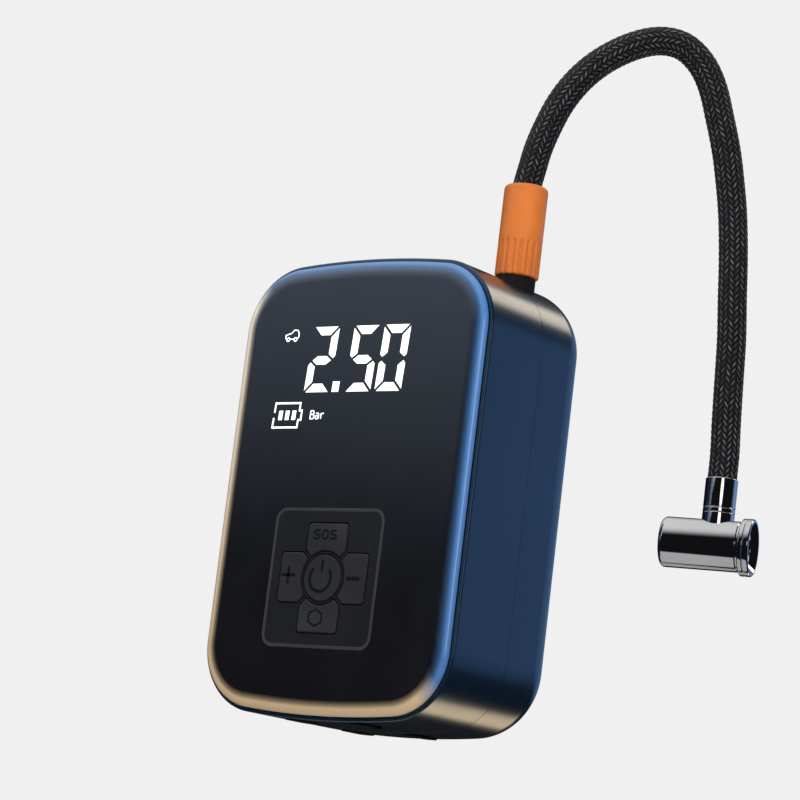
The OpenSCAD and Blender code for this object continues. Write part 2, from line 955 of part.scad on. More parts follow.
module head_gasket() {
    color("#7b2f28")
        difference() {
            post(crank_x, pump_y, flange_r, cylinder_top, head_z);
            post(crank_x, pump_y, bore_r, cylinder_top - 1, head_z + 1);
            head_bolts()
                post(0, 0, 1.2, cylinder_top - 1, head_z + 1);
        }
}

// Head with a valve chamber and a side spout to the outlet port
module cylinder_head() {
    color("#b4b8bc")
        difference() {
            union() {
                post(crank_x, pump_y, flange_r, head_z, head_flange_top);
                post(crank_x, pump_y, dome_r, head_flange_top - 1, head_top);
                translate([crank_x, pump_y, spout_z])
                    rotate([0, 90, 0])
                        cylinder(r = spout_r, h = port_x - crank_x - port_r + 2);
            }
            post(crank_x, pump_y, dome_r - 2, head_z + 2, head_top - 2);
            post(crank_x, pump_y, 1.5, head_z - 1, head_z + 3);
            translate([crank_x, pump_y, spout_z])
                rotate([0, 90, 0])
                    cylinder(r = 1.4, h = port_x - crank_x);
            head_bolts()
                post(0, 0, 1.2, head_z - 1, head_flange_top + 1);
        }
}

module head_screws() {
    color("#5b5e62")
        head_bolts() {
            post(0, 0, 1.1, cylinder_top - 2.4, head_flange_top);
            post(0, 0, 2, head_flange_top, head_flange_top + 1.6);
        }
}

// Spring-steel reed that covers the head's delivery hole
module reed_valve() {
    reed_z = head_z + 2;
    color("#d3d6d9") {
        box([crank_x - 5.4, pump_y - 1.8, reed_z], [crank_x + 2.4, pump_y + 1.8, reed_z + 0.2]);
        post(crank_x - 4, pump_y, 1.3, reed_z + 0.2, reed_z + 1.2);
    }
}

// Threaded brass port that stands out of the top corner of the case
module outlet_port() {
    color("#c8a24a")
        difference() {
            post(port_x, port_y, port_r, port_bottom, port_top);
            post(port_x, port_y, 2, port_bottom + 1.5, port_top + 1);
            translate([port_x - port_r - 1, port_y, spout_z])
                rotate([0, 90, 0])
                    cylinder(r = spout_r, h = 3);
            translate([port_x - port_r, port_y, spout_z])
                rotate([0, 90, 0])
                    cylinder(r = 1.4, h = port_r);
        }
}

// Rubber grommet that fills the case's hole round the port, up to the collar
module port_seat() {
    color("#1b1a1a")
        difference() {
            post(port_x, port_y, seat_r, seat_bottom, collar_bottom - gap);
            post(port_x, port_y, port_r + fit, seat_bottom - 1, collar_bottom);
        }
}

// Thin tube from the head to the pressure sensor
module sensor_tube() {
    color("#dcdcd8")
        sweep([
            [crank_x, pump_y - dome_r - 0.05, 124],
            [crank_x, pump_y - dome_r - 3, 124],
            [crank_x + 3, -12.5, 123.4],
            [crank_x + 7, -16, 121],
            [sensor_x, pcb_back_y + 1.5, 118],
            [sensor_x, pcb_back_y + 1.5, sensor_top]
        ], 1.1, 8, [1, 0, 0.2]);
}

module pressure_sensor() {
    color("#202226")
        box([sensor_x - 5, pcb_back_y, sensor_top - 10], [sensor_x + 5, pcb_back_y + 3, sensor_top]);
}

// ---- Hose ----

// Orange union nut with a long sleeve; the lower end is fluted for the fingers
module hose_collar() {
    color("#e0782f")
        difference() {
            translate([port_x, port_y, 0])
                rotate_extrude()
                    polygon(concat(
                        [
                            [0, collar_bottom],
                            [collar_r - 0.6, collar_bottom],
                            [collar_r, collar_bottom + 0.6]
                        ],
                        arc(collar_r - 1.2, collar_top - 1.2, 1.2, 0, 90, 6),
                        [[0, collar_top]]
                    ));
            post(port_x, port_y, collar_bore_r, collar_bottom - 1, nut_shoulder + 0.05);
            post(port_x, port_y, hose_r + gap, nut_shoulder - 1, collar_top + 1);
            for (i = [0:flute_count - 1])
                let (a = 360 * i / flute_count)
                post(port_x + (collar_r + 0.25) * cos(a), port_y + (collar_r + 0.25) * sin(a),
                     0.65, collar_bottom - 1, collar_bottom + flute_h);
        }
}

// Brass spigot with the flange that the nut pulls down on to the port
module hose_spigot() {
    color("#c8a24a")
        difference() {
            union() {
                post(port_x, port_y, port_r, port_top, nut_shoulder);
                post(port_x, port_y, spigot_r, nut_shoulder - 1, spigot_top);
            }
            post(port_x, port_y, 2, port_top - 1, spigot_top + 1);
        }
}

module hose() {
    color("#24262b")
        sweep(hose_points, hose_r, hose_sides, [sin(hose_turn), -cos(hose_turn), 0]);
}

// Crimped ferrule with a wider foot
module hose_ferrule() {
    top = hose_end[1];
    color("#d7dade")
        difference() {
            union() {
                post(chuck_x, chuck_y, neck_r - 0.2, neck_top, top);
                post(chuck_x, chuck_y, neck_r, neck_top, neck_top + 1.4);
            }
            post(chuck_x, chuck_y, stem_r, neck_top - 1, stem_top);
            post(chuck_x, chuck_y, 1.5, stem_top - 1, top + 1);
        }
}

// ---- Chuck ----

module chuck_body() {
    color("#dfe2e6")
        difference() {
            union() {
                at_chuck()
                    barrel(barrel_r, barrel_back, barrel_front);
                post(chuck_x, chuck_y, stem_r, chuck_z, stem_top);
                post(chuck_x, chuck_y, neck_r, chuck_z + 5, neck_top);
            }
            at_chuck() {
                barrel(seal_r, -3.5, barrel_front + 1);
                barrel(poppet_r + gap, -9.3, -3);
                barrel(3, barrel_back - 1, -9);
            }
            post(chuck_x, chuck_y, 1.5, chuck_z, stem_top + 1);
        }
}

// Turned cap that closes the barrel's back end
module chuck_end_cap() {
    color("#dfe2e6")
        at_chuck()
            rotate_extrude()
                polygon([
                    [0, barrel_back - 2],
                    [barrel_r - 1, barrel_back - 2],
                    [barrel_r, barrel_back - 1],
                    [barrel_r, barrel_back],
                    [3, barrel_back],
                    [3, barrel_back + 0.3],
                    [0, barrel_back + 0.3]
                ]);
}

// Rubber seal that grips the tire valve
module chuck_seal() {
    color("#202122")
        at_chuck()
            difference() {
                barrel(seal_r, seal_back, barrel_front);
                barrel(valve_r, seal_back - 1, barrel_front + 1);
            }
}

// Wider ring that retains the seal and forms the mouth
module chuck_nose() {
    color("#dfe2e6")
        at_chuck()
            rotate_extrude()
                polygon([
                    [5.4, barrel_front], [nose_r - 0.4, barrel_front], [nose_r, barrel_front + 0.4],
                    [nose_r, nose_front - 0.5], [nose_r - 0.5, nose_front], [7, nose_front],
                    [5.4, nose_front - 2]
                ]);
}

// Pin and poppet that open the tire valve when the chuck is pushed on
module depressor_pin() {
    color("#c8a24a")
        at_chuck() {
            barrel(poppet_r, -7.5, -6);
            barrel(1.1, -6.5, pin_tip);
        }
}

// Coil spring behind the poppet
module depressor_spring() {
    turns = 4;
    steps = 12;
    back = -12.2;
    front = -7.55;
    wire_r = 0.35;
    coil_r = 2.2;
    color("#b9bcc0")
        at_chuck()
            skin([
                for (i = [0:turns * steps])
                let (
                    a = 360 * i / steps,
                    u = back + wire_r + (front - back - 2 * wire_r) * i / (turns * steps),
                    radial = [cos(a), sin(a), 0]
                )
                [
                    for (k = [0:7])
                    coil_r * radial + [0, 0, u]
                        + wire_r * (cos(45 * k) * radial + sin(45 * k) * [0, 0, 1])
                ]
            ]);
}

front_panel();
front_frame();
keypad_ring();
keypad_plate();
button_power();
button_light();
button_minus();
button_mode();
button_plus();
keypad_membrane();
tact_switches();
display_module();
main_pcb();
usb_port();
main_housing();
rear_cover();
rear_screws();
feet();
light_lens();
light_board();
battery_cell_1();
battery_cell_2();
battery_cell_3();
battery_holder();
cell_tabs();
wiring();
motor_can();
motor_endcap();
motor_magnets();
motor_armature();
motor_shaft();
pinion();
cooling_fan();
gearbox_frame();
crank_bearing();
crank_gear();
crank_shaft();
crank_pin();
connecting_rod();
rod_bearing();
piston_seal();
pump_cylinder();
head_gasket();
cylinder_head();
head_screws();
reed_valve();
outlet_port();
port_seat();
sensor_tube();
pressure_sensor();
hose_collar();
hose_spigot();
hose();
hose_ferrule();
chuck_body();
chuck_end_cap();
chuck_seal();
chuck_nose();
depressor_pin();
depressor_spring();
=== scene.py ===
import json
import math

import bmesh
import bpy
import numpy as np
from mathutils import Matrix, Vector


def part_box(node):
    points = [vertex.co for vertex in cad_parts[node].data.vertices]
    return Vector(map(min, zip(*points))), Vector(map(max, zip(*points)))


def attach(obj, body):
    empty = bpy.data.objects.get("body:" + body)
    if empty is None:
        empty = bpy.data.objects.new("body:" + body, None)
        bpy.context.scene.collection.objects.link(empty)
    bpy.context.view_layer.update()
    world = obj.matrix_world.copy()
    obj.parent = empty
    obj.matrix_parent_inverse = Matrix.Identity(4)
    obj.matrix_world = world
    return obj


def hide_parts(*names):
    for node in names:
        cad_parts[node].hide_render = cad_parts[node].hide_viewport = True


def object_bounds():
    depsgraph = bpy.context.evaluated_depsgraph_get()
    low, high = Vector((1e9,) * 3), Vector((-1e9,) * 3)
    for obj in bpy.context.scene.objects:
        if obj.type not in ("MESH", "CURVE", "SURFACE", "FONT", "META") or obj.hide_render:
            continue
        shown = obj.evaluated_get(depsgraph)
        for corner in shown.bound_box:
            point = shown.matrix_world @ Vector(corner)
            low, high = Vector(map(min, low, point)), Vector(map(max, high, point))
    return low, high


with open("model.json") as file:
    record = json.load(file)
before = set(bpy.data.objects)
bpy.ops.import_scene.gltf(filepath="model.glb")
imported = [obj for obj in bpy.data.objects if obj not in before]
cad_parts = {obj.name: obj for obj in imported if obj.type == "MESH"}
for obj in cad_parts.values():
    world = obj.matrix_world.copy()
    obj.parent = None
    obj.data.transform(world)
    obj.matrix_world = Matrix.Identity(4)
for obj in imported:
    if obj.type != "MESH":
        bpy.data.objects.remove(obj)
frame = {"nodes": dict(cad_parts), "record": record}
cad_low, cad_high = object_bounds()

MM = 0.001

# ---- Sizes, in metres: read from the frame where it gives them ----

panel_low, panel_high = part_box("front_panel")
housing_low, housing_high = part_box("main_housing")
cover_low, cover_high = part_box("rear_cover")
plate_low, plate_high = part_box("keypad_plate")
HALF_W = housing_high.x
TOP = housing_high.z
BOTTOM = housing_low.z
FRONT = panel_low.y
PANEL_BACK = panel_high.y
LIP = housing_low.y
SPLIT = cover_low.y - 0.06 * MM    # a fine parting line between the two halves
BACK = cover_high.y
SEAM_INSET = housing_high.x - panel_high.x
PAD = Vector(((plate_low.x + plate_high.x) / 2, FRONT, (plate_low.z + plate_high.z) / 2))

CORNER_R = 21 * MM
CROWN_R = 300 * MM         # the long, nearly flat curves of the top and the bottom
BACK_ROUND = 12 * MM
WALL = 2.2 * MM
EDGE_W = 5.2 * MM          # the panel's rounded edge, measured along its face
EDGE_D = 2 * MM            # the same edge, measured front to back
CLEARANCE = 0.05 * MM      # keeps the faces of two pieces apart
CORNER_STEPS = 28
CROWN_STEPS = 16
RECT_STEPS = 10            # steps of each corner of a rounded rectangle
FILLET_STEP = math.radians(12)
TURN_STEPS = 96            # facets of a turned piece
FINE_TURN_STEPS = 160      # facets of the chrome barrel and its mouth ring

# ---- Geometry helpers ----


def arc(cx, cy, r, start, end, steps):
    """Points of an arc, with both of its ends."""
    angles = [start + (end - start) * i / steps for i in range(steps + 1)]
    return [(cx + r * math.cos(a), cy + r * math.sin(a)) for a in angles]


def circle(cx, cy, r, points):
    """Points of a full circle, each of them once."""
    return arc(cx, cy, r, 0, 2 * math.pi * (points - 1) / points, points - 1)


def outline(inset):
    """Front outline of the case, moved inwards: four corners and two long crowns."""
    a = HALF_W - inset
    r = CORNER_R - inset
    crown = CROWN_R - inset
    tilt = math.asin((a - r) / (crown - r))
    drop = crown - (crown - r) * math.cos(tilt)
    high = TOP - inset - drop
    low = BOTTOM + inset + drop
    turn = math.pi / 2 - tilt
    half = math.pi
    return (
        arc(a - r, high, r, 0, turn, CORNER_STEPS)
        + arc(0, TOP - inset - crown, crown, turn, half - turn, CROWN_STEPS)[1:-1]
        + arc(r - a, high, r, half - turn, half, CORNER_STEPS)
        + arc(r - a, low, r, half, half + turn, CORNER_STEPS)
        + arc(0, BOTTOM + inset + crown, crown, half + turn, 2 * half - turn, CROWN_STEPS)[1:-1]
        + arc(a - r, low, r, 2 * half - turn, 2 * half, CORNER_STEPS)
    )


def case_ring(inset, y):
    """Ring of the case outline at a depth."""
    return [(x, y, z) for x, z in outline(inset)]


def rounded(points):
    """Outline through (x, y, fillet radius) points, with each fillet drawn as an arc."""
    out = []
    for i, (x, y, r) in enumerate(points):
        here = Vector((x, y))
        if r == 0:
            out.append((x, y))
            continue
        before = (Vector(points[i - 1][:2]) - here).normalized()
        after = (Vector(points[(i + 1) % len(points)][:2]) - here).normalized()
        half = before.angle(after) / 2
        centre = here + (before + after).normalized() * r / math.sin(half)
        first = here + before * r / math.tan(half) - centre
        last = here + after * r / math.tan(half) - centre
        sweep = first.angle_signed(last)
        steps = max(2, math.ceil(abs(sweep) / FILLET_STEP))
        for k in range(steps + 1):
            p = centre + Matrix.Rotation(-sweep * k / steps, 2) @ first
            out.append((p.x, p.y))
    return out


def round_rect(cx, cz, w, h, r):
    """Rectangle with round corners."""
    half = math.pi / 2
    x, z = w / 2 - r, h / 2 - r
    return [
        p
        for i, (sx, sz) in enumerate([(1, 1), (-1, 1), (-1, -1), (1, -1)])
        for p in arc(cx + sx * x, cz + sz * z, r, half * i, half * (i + 1), RECT_STEPS)
    ]


def bridge(bm, a, b):
    """Joins two rings of vertices by faces. A ring may be one vertex, repeated."""
    for i in range(len(a)):
        j = (i + 1) % len(a)
        corners = list(dict.fromkeys((a[i], a[j], b[j], b[i])))
        if len(corners) > 2:
            bm.faces.new(corners)


def skin(bm, rows, closed):
    """Joins each ring of vertices to the next. Open ends are capped."""
    for a, b in zip(rows, rows[1:]):
        bridge(bm, a, b)
    if closed:
        bridge(bm, rows[-1], rows[0])
    else:
        bm.faces.new(rows[0])
        bm.faces.new(rows[-1])


def loft(bm, rings, closed=False):
    """Skin over rings of points."""
    skin(bm, [[bm.verts.new(p) for p in ring] for ring in rings], closed)


def lathe(bm, profile, place, steps=TURN_STEPS):
    """Turns a closed profile of (radius, height) points around the Z axis of place."""
    rows = []
    for r, h in profile:
        if r == 0:
            rows.append([bm.verts.new(place @ Vector((0, 0, h)))] * steps)
            continue
        rows.append([
            bm.verts.new(place @ Vector((r * math.cos(a), r * math.sin(a), h)))
            for a in (2 * math.pi * k / steps for k in range(steps))
        ])
    skin(bm, rows, closed=True)


def prism(bm, shape, y0, y1):
    """Solid between two depths with an outline of (x, z) points."""
    loft(bm, [[(x, y, z) for x, z in shape] for y in (y0, y1)])


LEAST_MITRE = 0.5          # keeps a stroke's sharp corners from growing into spikes


def ribbon(bm, line, width, y0, y1, closed=False):
    """Flat stroke of even width along a line of (x, z) points, as a thin solid."""
    points = [Vector(p) for p in line]
    count = len(points)
    rows = []
    for i, p in enumerate(points):
        before = points[i - 1] if closed or i > 0 else None
        after = points[(i + 1) % count] if closed or i < count - 1 else None
        a = (p - before).normalized() if before is not None else (after - p).normalized()
        b = (after - p).normalized() if after is not None else a
        mitre = (a + b).normalized()
        side = Vector((-mitre.y, mitre.x)) * width / 2 / max(LEAST_MITRE, mitre.dot(a))
        rows.append([
            bm.verts.new((q.x, y, q.y))
            for q, y in ((p + side, y0), (p - side, y0), (p - side, y1), (p + side, y1))
        ])
    skin(bm, rows, closed)


def new_object(name, data):
    """Adds an object with this data to the scene."""
    made = bpy.data.objects.new(name, data)
    bpy.context.scene.collection.objects.link(made)
    return made


def set_shading(mesh, angle):
    """Smooth shading with sharp edges above an angle in degrees."""
    mesh.polygons.foreach_set("use_smooth", [True] * len(mesh.polygons))
    mesh.set_sharp_from_angle(angle=math.radians(angle))


# Bodies that cast no mirror image on the glossy case
UNMIRRORED = ("hose_set", "depressor")


def add_piece(name, bm, material, body, slot, *nodes, angle=35):
    """Makes a piece of a bmesh. It rides on a body and may stand for CAD nodes."""
    bmesh.ops.recalc_face_normals(bm, faces=bm.faces)
    mesh = bpy.data.meshes.new(name)
    bm.to_mesh(mesh)
    bm.free()
    set_shading(mesh, angle)
    mesh.materials.append(material)
    piece = new_object(name, mesh)
    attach(piece, body)
    if nodes:
        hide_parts(*nodes)
    piece.visible_glossy = body not in UNMIRRORED
    return piece


def add_modifier(piece, kind, **settings):
    """Adds a modifier of this kind with these settings."""
    modifier = piece.modifiers.new(kind.lower(), kind)
    for key, value in settings.items():
        setattr(modifier, key, value)
    return modifier


def apply_modifiers(piece):
    """Replaces a piece's mesh by what its modifiers make of it."""
    graph = bpy.context.evaluated_depsgraph_get()
    made = bpy.data.meshes.new_from_object(piece.evaluated_get(graph))
    piece.modifiers.clear()
    piece.data = made


def cut(piece, tool):
    """Cuts the solids of a bmesh out of a piece."""
    bmesh.ops.recalc_face_normals(tool, faces=tool.faces)
    mesh = bpy.data.meshes.new("cutter")
    tool.to_mesh(mesh)
    tool.free()
    cutter = new_object("cutter", mesh)
    add_modifier(piece, "BOOLEAN", object=cutter, operation="DIFFERENCE", solver="EXACT")
    apply_modifiers(piece)
    bpy.data.objects.remove(cutter)


def round_edges(piece, width, angle):
    """Rounds the edges that turn by more than an angle in degrees."""
    add_modifier(
        piece, "BEVEL", width=width, segments=3, limit_method="ANGLE",
        angle_limit=math.radians(angle),
    )
    add_modifier(piece, "WEIGHTED_NORMAL", keep_sharp=True)


def soften(node, material, body, slot, width):
    """Stands a copy of a CAD node, with rounded edges, in the node's place."""
    bm = bmesh.new()
    bm.from_mesh(frame["nodes"][node].data)
    bmesh.ops.remove_doubles(bm, verts=bm.verts, dist=0.001 * MM)
    bmesh.ops.dissolve_limit(bm, angle_limit=math.radians(1), verts=bm.verts, edges=bm.edges)
    piece = add_piece(node + "_body", bm, material, body, slot, node)
    round_edges(piece, width, 40)


# ---- Materials ----


class Nodes:
    """Node tree under construction."""

    def node(self, kind, **settings):
        made = self.tree.nodes.new(kind)
        for key, value in settings.items():
            setattr(made, key, value)
        return made

    def link(self, source, target):
        self.tree.links.new(source, target)


class Paint(Nodes):
    """Node material, with object coordinates in metres."""

    def __init__(self, name):
        self.material = bpy.data.materials.new(name)
        self.material.use_nodes = True
        self.tree = self.material.node_tree
        self.shader = self.tree.nodes["Principled BSDF"]
        self.place = self.node("ShaderNodeTexCoord").outputs["Object"]

    def set(self, **values):
        for key, value in values.items():
            self.shader.inputs[key.replace("_", " ")].default_value = value

    def noise(self, size, detail=3, stretch=(1, 1, 1)):
        """Noise with features of about the given size, in metres."""
        spread = self.node("ShaderNodeMapping")
        spread.inputs["Scale"].default_value = stretch
        self.link(self.place, spread.inputs["Vector"])
        made = self.node("ShaderNodeTexNoise")
        made.inputs["Scale"].default_value = 1 / size
        made.inputs["Detail"].default_value = detail
        self.link(spread.outputs["Vector"], made.inputs["Vector"])
        return made.outputs["Fac"]

    def along(self, axis, origin):
        """Distance from a point along an axis, in metres."""
        moved = self.node("ShaderNodeVectorMath", operation="SUBTRACT")
        self.link(self.place, moved.inputs[0])
        moved.inputs[1].default_value = origin
        made = self.node("ShaderNodeVectorMath", operation="DOT_PRODUCT")
        self.link(moved.outputs["Vector"], made.inputs[0])
        made.inputs[1].default_value = axis
        return made.outputs["Value"]

    def between(self, fac, low, high, start=0.3, end=0.7):
        """A number that goes from low to high as fac goes from start to end."""
        made = self.node("ShaderNodeMapRange")
        made.inputs["From Min"].default_value = start
        made.inputs["From Max"].default_value = end
        made.inputs["To Min"].default_value = low
        made.inputs["To Max"].default_value = high
        self.link(fac, made.inputs["Value"])
        return made.outputs["Result"]

    def mix(self, fac, low, high):
        """A colour between two others; each is a colour or a node's output."""
        made = self.node("ShaderNodeMix", data_type="RGBA")
        self.link(fac, made.inputs["Factor"])
        for key, value in (("A", low), ("B", high)):
            socket = next(s for s in made.inputs if s.name == key and s.type == "RGBA")
            if isinstance(value, bpy.types.NodeSocket):
                self.link(value, socket)
            else:
                socket.default_value = (*value, 1)
        return next(s for s in made.outputs if s.type == "RGBA")

    def bump(self, height, depth):
        """Bump of the given depth, in metres."""
        made = self.node("ShaderNodeBump")
        made.inputs["Distance"].default_value = depth
        self.link(height, made.inputs["Height"])
        self.link(made.outputs["Normal"], self.shader.inputs["Normal"])

    def cloudy(self, size, low, high):
        """A colour that drifts between two others, in patches of about the given size."""
        return self.mix(self.between(self.noise(size), 0, 1), low, high)

    def paint(self, color):
        self.link(color, self.shader.inputs["Base Color"])

    def roughen(self, fac, low, high):
        """Roughness that goes from low to high with fac."""
        self.link(self.between(fac, low, high), self.shader.inputs["Roughness"])

    def wear(self):
        """1 on convex edges and 0 elsewhere. Pointiness is 0.5 on a flat face."""
        edge = self.node("ShaderNodeNewGeometry").outputs["Pointiness"]
        return self.between(edge, 0, 1, 0.52, 0.62)


def shade(color, factor):
    """A darker or lighter tint of a colour."""
    return tuple(min(1, c * factor) for c in color)


def plastic(name, color, roughness, grain=0.3 * MM, depth=0.02 * MM, worn=1.5):
    """Moulded or machined surface: fine grain, uneven gloss and lighter edges."""
    p = Paint(name)
    body = p.cloudy(18 * MM, shade(color, 0.85), shade(color, 1.15))
    p.paint(p.mix(p.wear(), body, shade(color, worn)))
    p.roughen(p.noise(4 * MM, 5), roughness * 0.8, roughness * 1.25)
    p.bump(p.noise(grain, 2), depth)
    return p.material


def metal(name, color, roughness, stretch=(1, 1, 1), depth=0.001 * MM):
    """Metal with fine machining marks along one direction."""
    p = Paint(name)
    p.set(Metallic=1.0)
    lines = p.noise(0.5 * MM, 4, stretch)
    p.paint(p.cloudy(12 * MM, shade(color, 0.88), color))
    p.roughen(lines, roughness * 0.7, roughness * 1.4)
    p.bump(lines, depth)
    return p.material


FLAKE = 0.12 * MM          # size of the lacquer's metal flakes


def case_lacquer():
    """Dark blue metallic lacquer with flakes under a clear coat."""
    p = Paint("case_lacquer")
    p.set(Metallic=0.85, Coat_Weight=1.0, Coat_Roughness=0.2, Coat_IOR=1.7)
    flakes = p.node("ShaderNodeTexVoronoi")
    flakes.inputs["Scale"].default_value = 1 / FLAKE
    p.link(p.place, flakes.inputs["Vector"])
    flake = p.node("ShaderNodeSeparateColor")
    p.link(flakes.outputs["Color"], flake.inputs["Color"])
    deep = p.cloudy(30 * MM, (0.018, 0.060, 0.125), (0.022, 0.069, 0.142))
    glint = p.between(flake.outputs["Red"], 0, 0.35, 0.5, 1)
    p.paint(p.mix(glint, deep, (0.045, 0.085, 0.17)))
    p.roughen(p.noise(6 * MM, 6), 0.32, 0.38)
    p.bump(p.noise(0.25 * MM, 2), 0.0002 * MM)
    return p.material


PAINTED_REFLECTION_TURN = (0.827, 0, 0.561)   # direction in which the painted reflection on the edge turns from gold to blue
# The normal's Y, -1 at the front, where the painted reflection on the edge starts and where it is
# full
PAINTED_REFLECTION_START = -0.999
GOLD_REFLECTION_FULL = -0.965
BLUE_REFLECTION_FULL = -0.90


def tinted_glass():
    """Glossy dark panel with wipe marks. Its rounded edge carries a painted reflection: gold at the
    lower left, creamier higher up, and blue at the upper right.
    """
    p = Paint("tinted_glass")
    p.set(Coat_Weight=1.0, Coat_Roughness=0.03, Coat_IOR=1.6)
    face = p.cloudy(25 * MM, (0.005, 0.005, 0.0065), (0.007, 0.007, 0.009))
    middle = (panel_low + panel_high) / 2
    height = p.along((0, 0, 1), middle)
    rise = p.between(height, 0, 1, -50 * MM, 50 * MM)
    # Painted reflection for the rounded edge: gold that turns cream towards the top, and blue
    gold = p.mix(rise, (0.60, 0.44, 0.26), (0.85, 0.74, 0.60))
    blue = p.mix(rise, (0.062, 0.170, 0.40), (0.074, 0.190, 0.43))
    across = p.along(PAINTED_REFLECTION_TURN, middle)
    side = p.between(across, 0, 1, -4 * MM, 4 * MM)
    turn = p.node("ShaderNodeSeparateXYZ")
    p.link(p.node("ShaderNodeTexCoord").outputs["Normal"], turn.inputs[0])
    # The painted reflection comes in as the edge's normal turns away from the front
    painted_gold_reflection = p.mix(p.between(turn.outputs["Y"], 0, 1, PAINTED_REFLECTION_START, GOLD_REFLECTION_FULL), face, gold)
    painted_blue_reflection = p.mix(p.between(turn.outputs["Y"], 0, 1, PAINTED_REFLECTION_START, BLUE_REFLECTION_FULL), face, blue)
    p.paint(p.mix(side, painted_gold_reflection, painted_blue_reflection))
    wipes = p.noise(5 * MM, 6, (1, 1, 0.3))
    p.roughen(wipes, 0.12, 0.2)
    return p.material


def polished_chrome():
    """Polished chrome with very faint polishing marks."""
    p = Paint("polished_chrome")
    p.set(Metallic=1.0)
    p.paint(p.cloudy(15 * MM, (0.78, 0.79, 0.81), (0.86, 0.87, 0.88)))
    p.roughen(p.noise(2 * MM, 6), 0.03, 0.08)
    p.bump(p.noise(0.4 * MM, 3), 0.0006 * MM)
    return p.material


def braid_yarn():
    """Woven polyester: black yarn, with a painted grey highlight of random strength on the crests
    where the yarns stand proud.
    """
    p = Paint("braid_yarn")
    height = p.node("ShaderNodeAttribute", attribute_name="braid_height").outputs["Fac"]
    chance = p.node("ShaderNodeAttribute", attribute_name="braid_highlight_strength").outputs["Fac"]
    # Painted highlight: grey on the yarns' crests, of a random strength for each yarn
    lit = p.node("ShaderNodeMath", operation="MULTIPLY")
    p.link(p.between(height, 0, 1, 0.72, 0.98), lit.inputs[0])
    p.link(p.between(chance, 0.15, 1, 0.0, 1.0), lit.inputs[1])
    fibres = p.noise(0.12 * MM, 2)
    yarn = p.mix(p.between(fibres, 0, 1), (0.003, 0.003, 0.004), (0.008, 0.008, 0.009))
    p.paint(p.mix(lit.outputs[0], yarn, (0.13, 0.13, 0.135)))
    p.roughen(fibres, 0.45, 0.7)
    p.set(Sheen_Weight=0.08, Sheen_Roughness=0.4)
    p.bump(fibres, 0.03 * MM)
    return p.material


def lit_segments():
    """White display light, a little uneven as through a diffuser."""
    p = Paint("lit_segments")
    white = p.cloudy(3 * MM, (0.88, 0.90, 0.92), (1.0, 1.0, 1.0))
    p.paint(white)
    p.link(white, p.shader.inputs["Emission Color"])
    p.set(Emission_Strength=0.75)
    p.roughen(p.noise(1 * MM), 0.35, 0.5)
    return p.material


def frosted_lens():
    """Milky clear plastic."""
    p = Paint("frosted_lens")
    p.set(Transmission_Weight=0.55, IOR=1.49)
    p.paint(p.cloudy(6 * MM, (0.80, 0.83, 0.86), (0.90, 0.92, 0.94)))
    p.roughen(p.noise(0.8 * MM), 0.25, 0.4)
    p.bump(p.noise(0.5 * MM, 2), 0.006 * MM)
    return p.material


LACQUER = case_lacquer()
GLASS = tinted_glass()
CHROME = polished_chrome()
YARN = braid_yarn()
SEGMENTS = lit_segments()
LENS = frosted_lens()
BLACK = plastic("satin_black", (0.007, 0.007, 0.008), 0.42)
BUTTON = plastic("button_matte", (0.017, 0.017, 0.018), 0.5, grain=0.2 * MM, depth=0.015 * MM)
PRINT = plastic("printed_ink", (0.001, 0.001, 0.001), 0.6)
TRIM = plastic("trim_paint", (0.032, 0.032, 0.034), 0.4)
RUBBER = plastic("soft_rubber", (0.006, 0.005, 0.005), 0.75, grain=0.5 * MM, depth=0.04 * MM)
ORANGE = plastic("nut_orange", (0.58, 0.158, 0.031), 0.38, depth=0.008 * MM, worn=1)
SCREW = metal("blackened_steel", (0.07, 0.07, 0.075), 0.4)

# Finishes of the CAD nodes that stay as they are, by the record's material slot
SLOT_FINISH = {
    "black_plastic": BLACK,
    "button_black": BUTTON,
    "grey_trim": TRIM,
    "black_rubber": RUBBER,
    "orange_plastic": ORANGE,
    "hose_braid": YARN,
    "chrome": CHROME,
    "screw_black": SCREW,
    "clear_lens": LENS,
    "case_paint": LACQUER,
    "panel_gloss": GLASS,
    "brass": metal("turned_brass", (0.72, 0.50, 0.20), 0.25, (1, 1, 8)),
    "steel": metal("machined_steel", (0.52, 0.53, 0.55), 0.28, (1, 8, 1)),
    "alloy": metal("cast_alloy", (0.55, 0.56, 0.58), 0.45, depth=0.03 * MM),
    "nickel": metal("nickel_strip", (0.66, 0.63, 0.58), 0.3, (6, 1, 1)),
    "magnet": metal("sintered_magnet", (0.10, 0.10, 0.11), 0.55, depth=0.02 * MM),
    "copper": metal("enamelled_copper", (0.62, 0.28, 0.12), 0.32, (1, 5, 1), 0.05 * MM),
    "circuit_board": plastic("solder_mask", (0.015, 0.11, 0.055), 0.35, worn=2),
    "display_glass": plastic("display_filter", (0.010, 0.010, 0.012), 0.12, depth=0.001 * MM),
    "cell_wrap": plastic("cell_sleeve", (0.03, 0.25, 0.13), 0.28, grain=2 * MM),
    "nylon": plastic("moulded_nylon", (0.72, 0.69, 0.60), 0.45, worn=1.1),
    "lead_red": plastic("lead_insulation", (0.50, 0.035, 0.025), 0.35, worn=1.2),
    "clear_tube": plastic("silicone_tube", (0.66, 0.66, 0.62), 0.3, worn=1.1),
}


def finish_cad_nodes():
    """Gives each CAD node the finish of its slot in the record."""
    for part in frame["record"]["subparts"]:
        mesh = frame["nodes"][part["node"]].data
        mesh.materials.clear()
        mesh.materials.append(SLOT_FINISH[part["material_slot"]])
    for body in UNMIRRORED:
        for node in frame["record"]["behaviour"]["bodies"][body]:
            frame["nodes"][node].visible_glossy = False


# ---- Camera ----

CAMERA_AT = Vector((0.5514, -0.6958, -0.0551))
CAMERA_TARGET = Vector((-0.0015, -0.0025, 0.1012))
CAMERA_ROLL = math.radians(6.97)   # the object leans in the picture
CAMERA_LENS = 132.6        # focal length on a sensor 36 mm wide


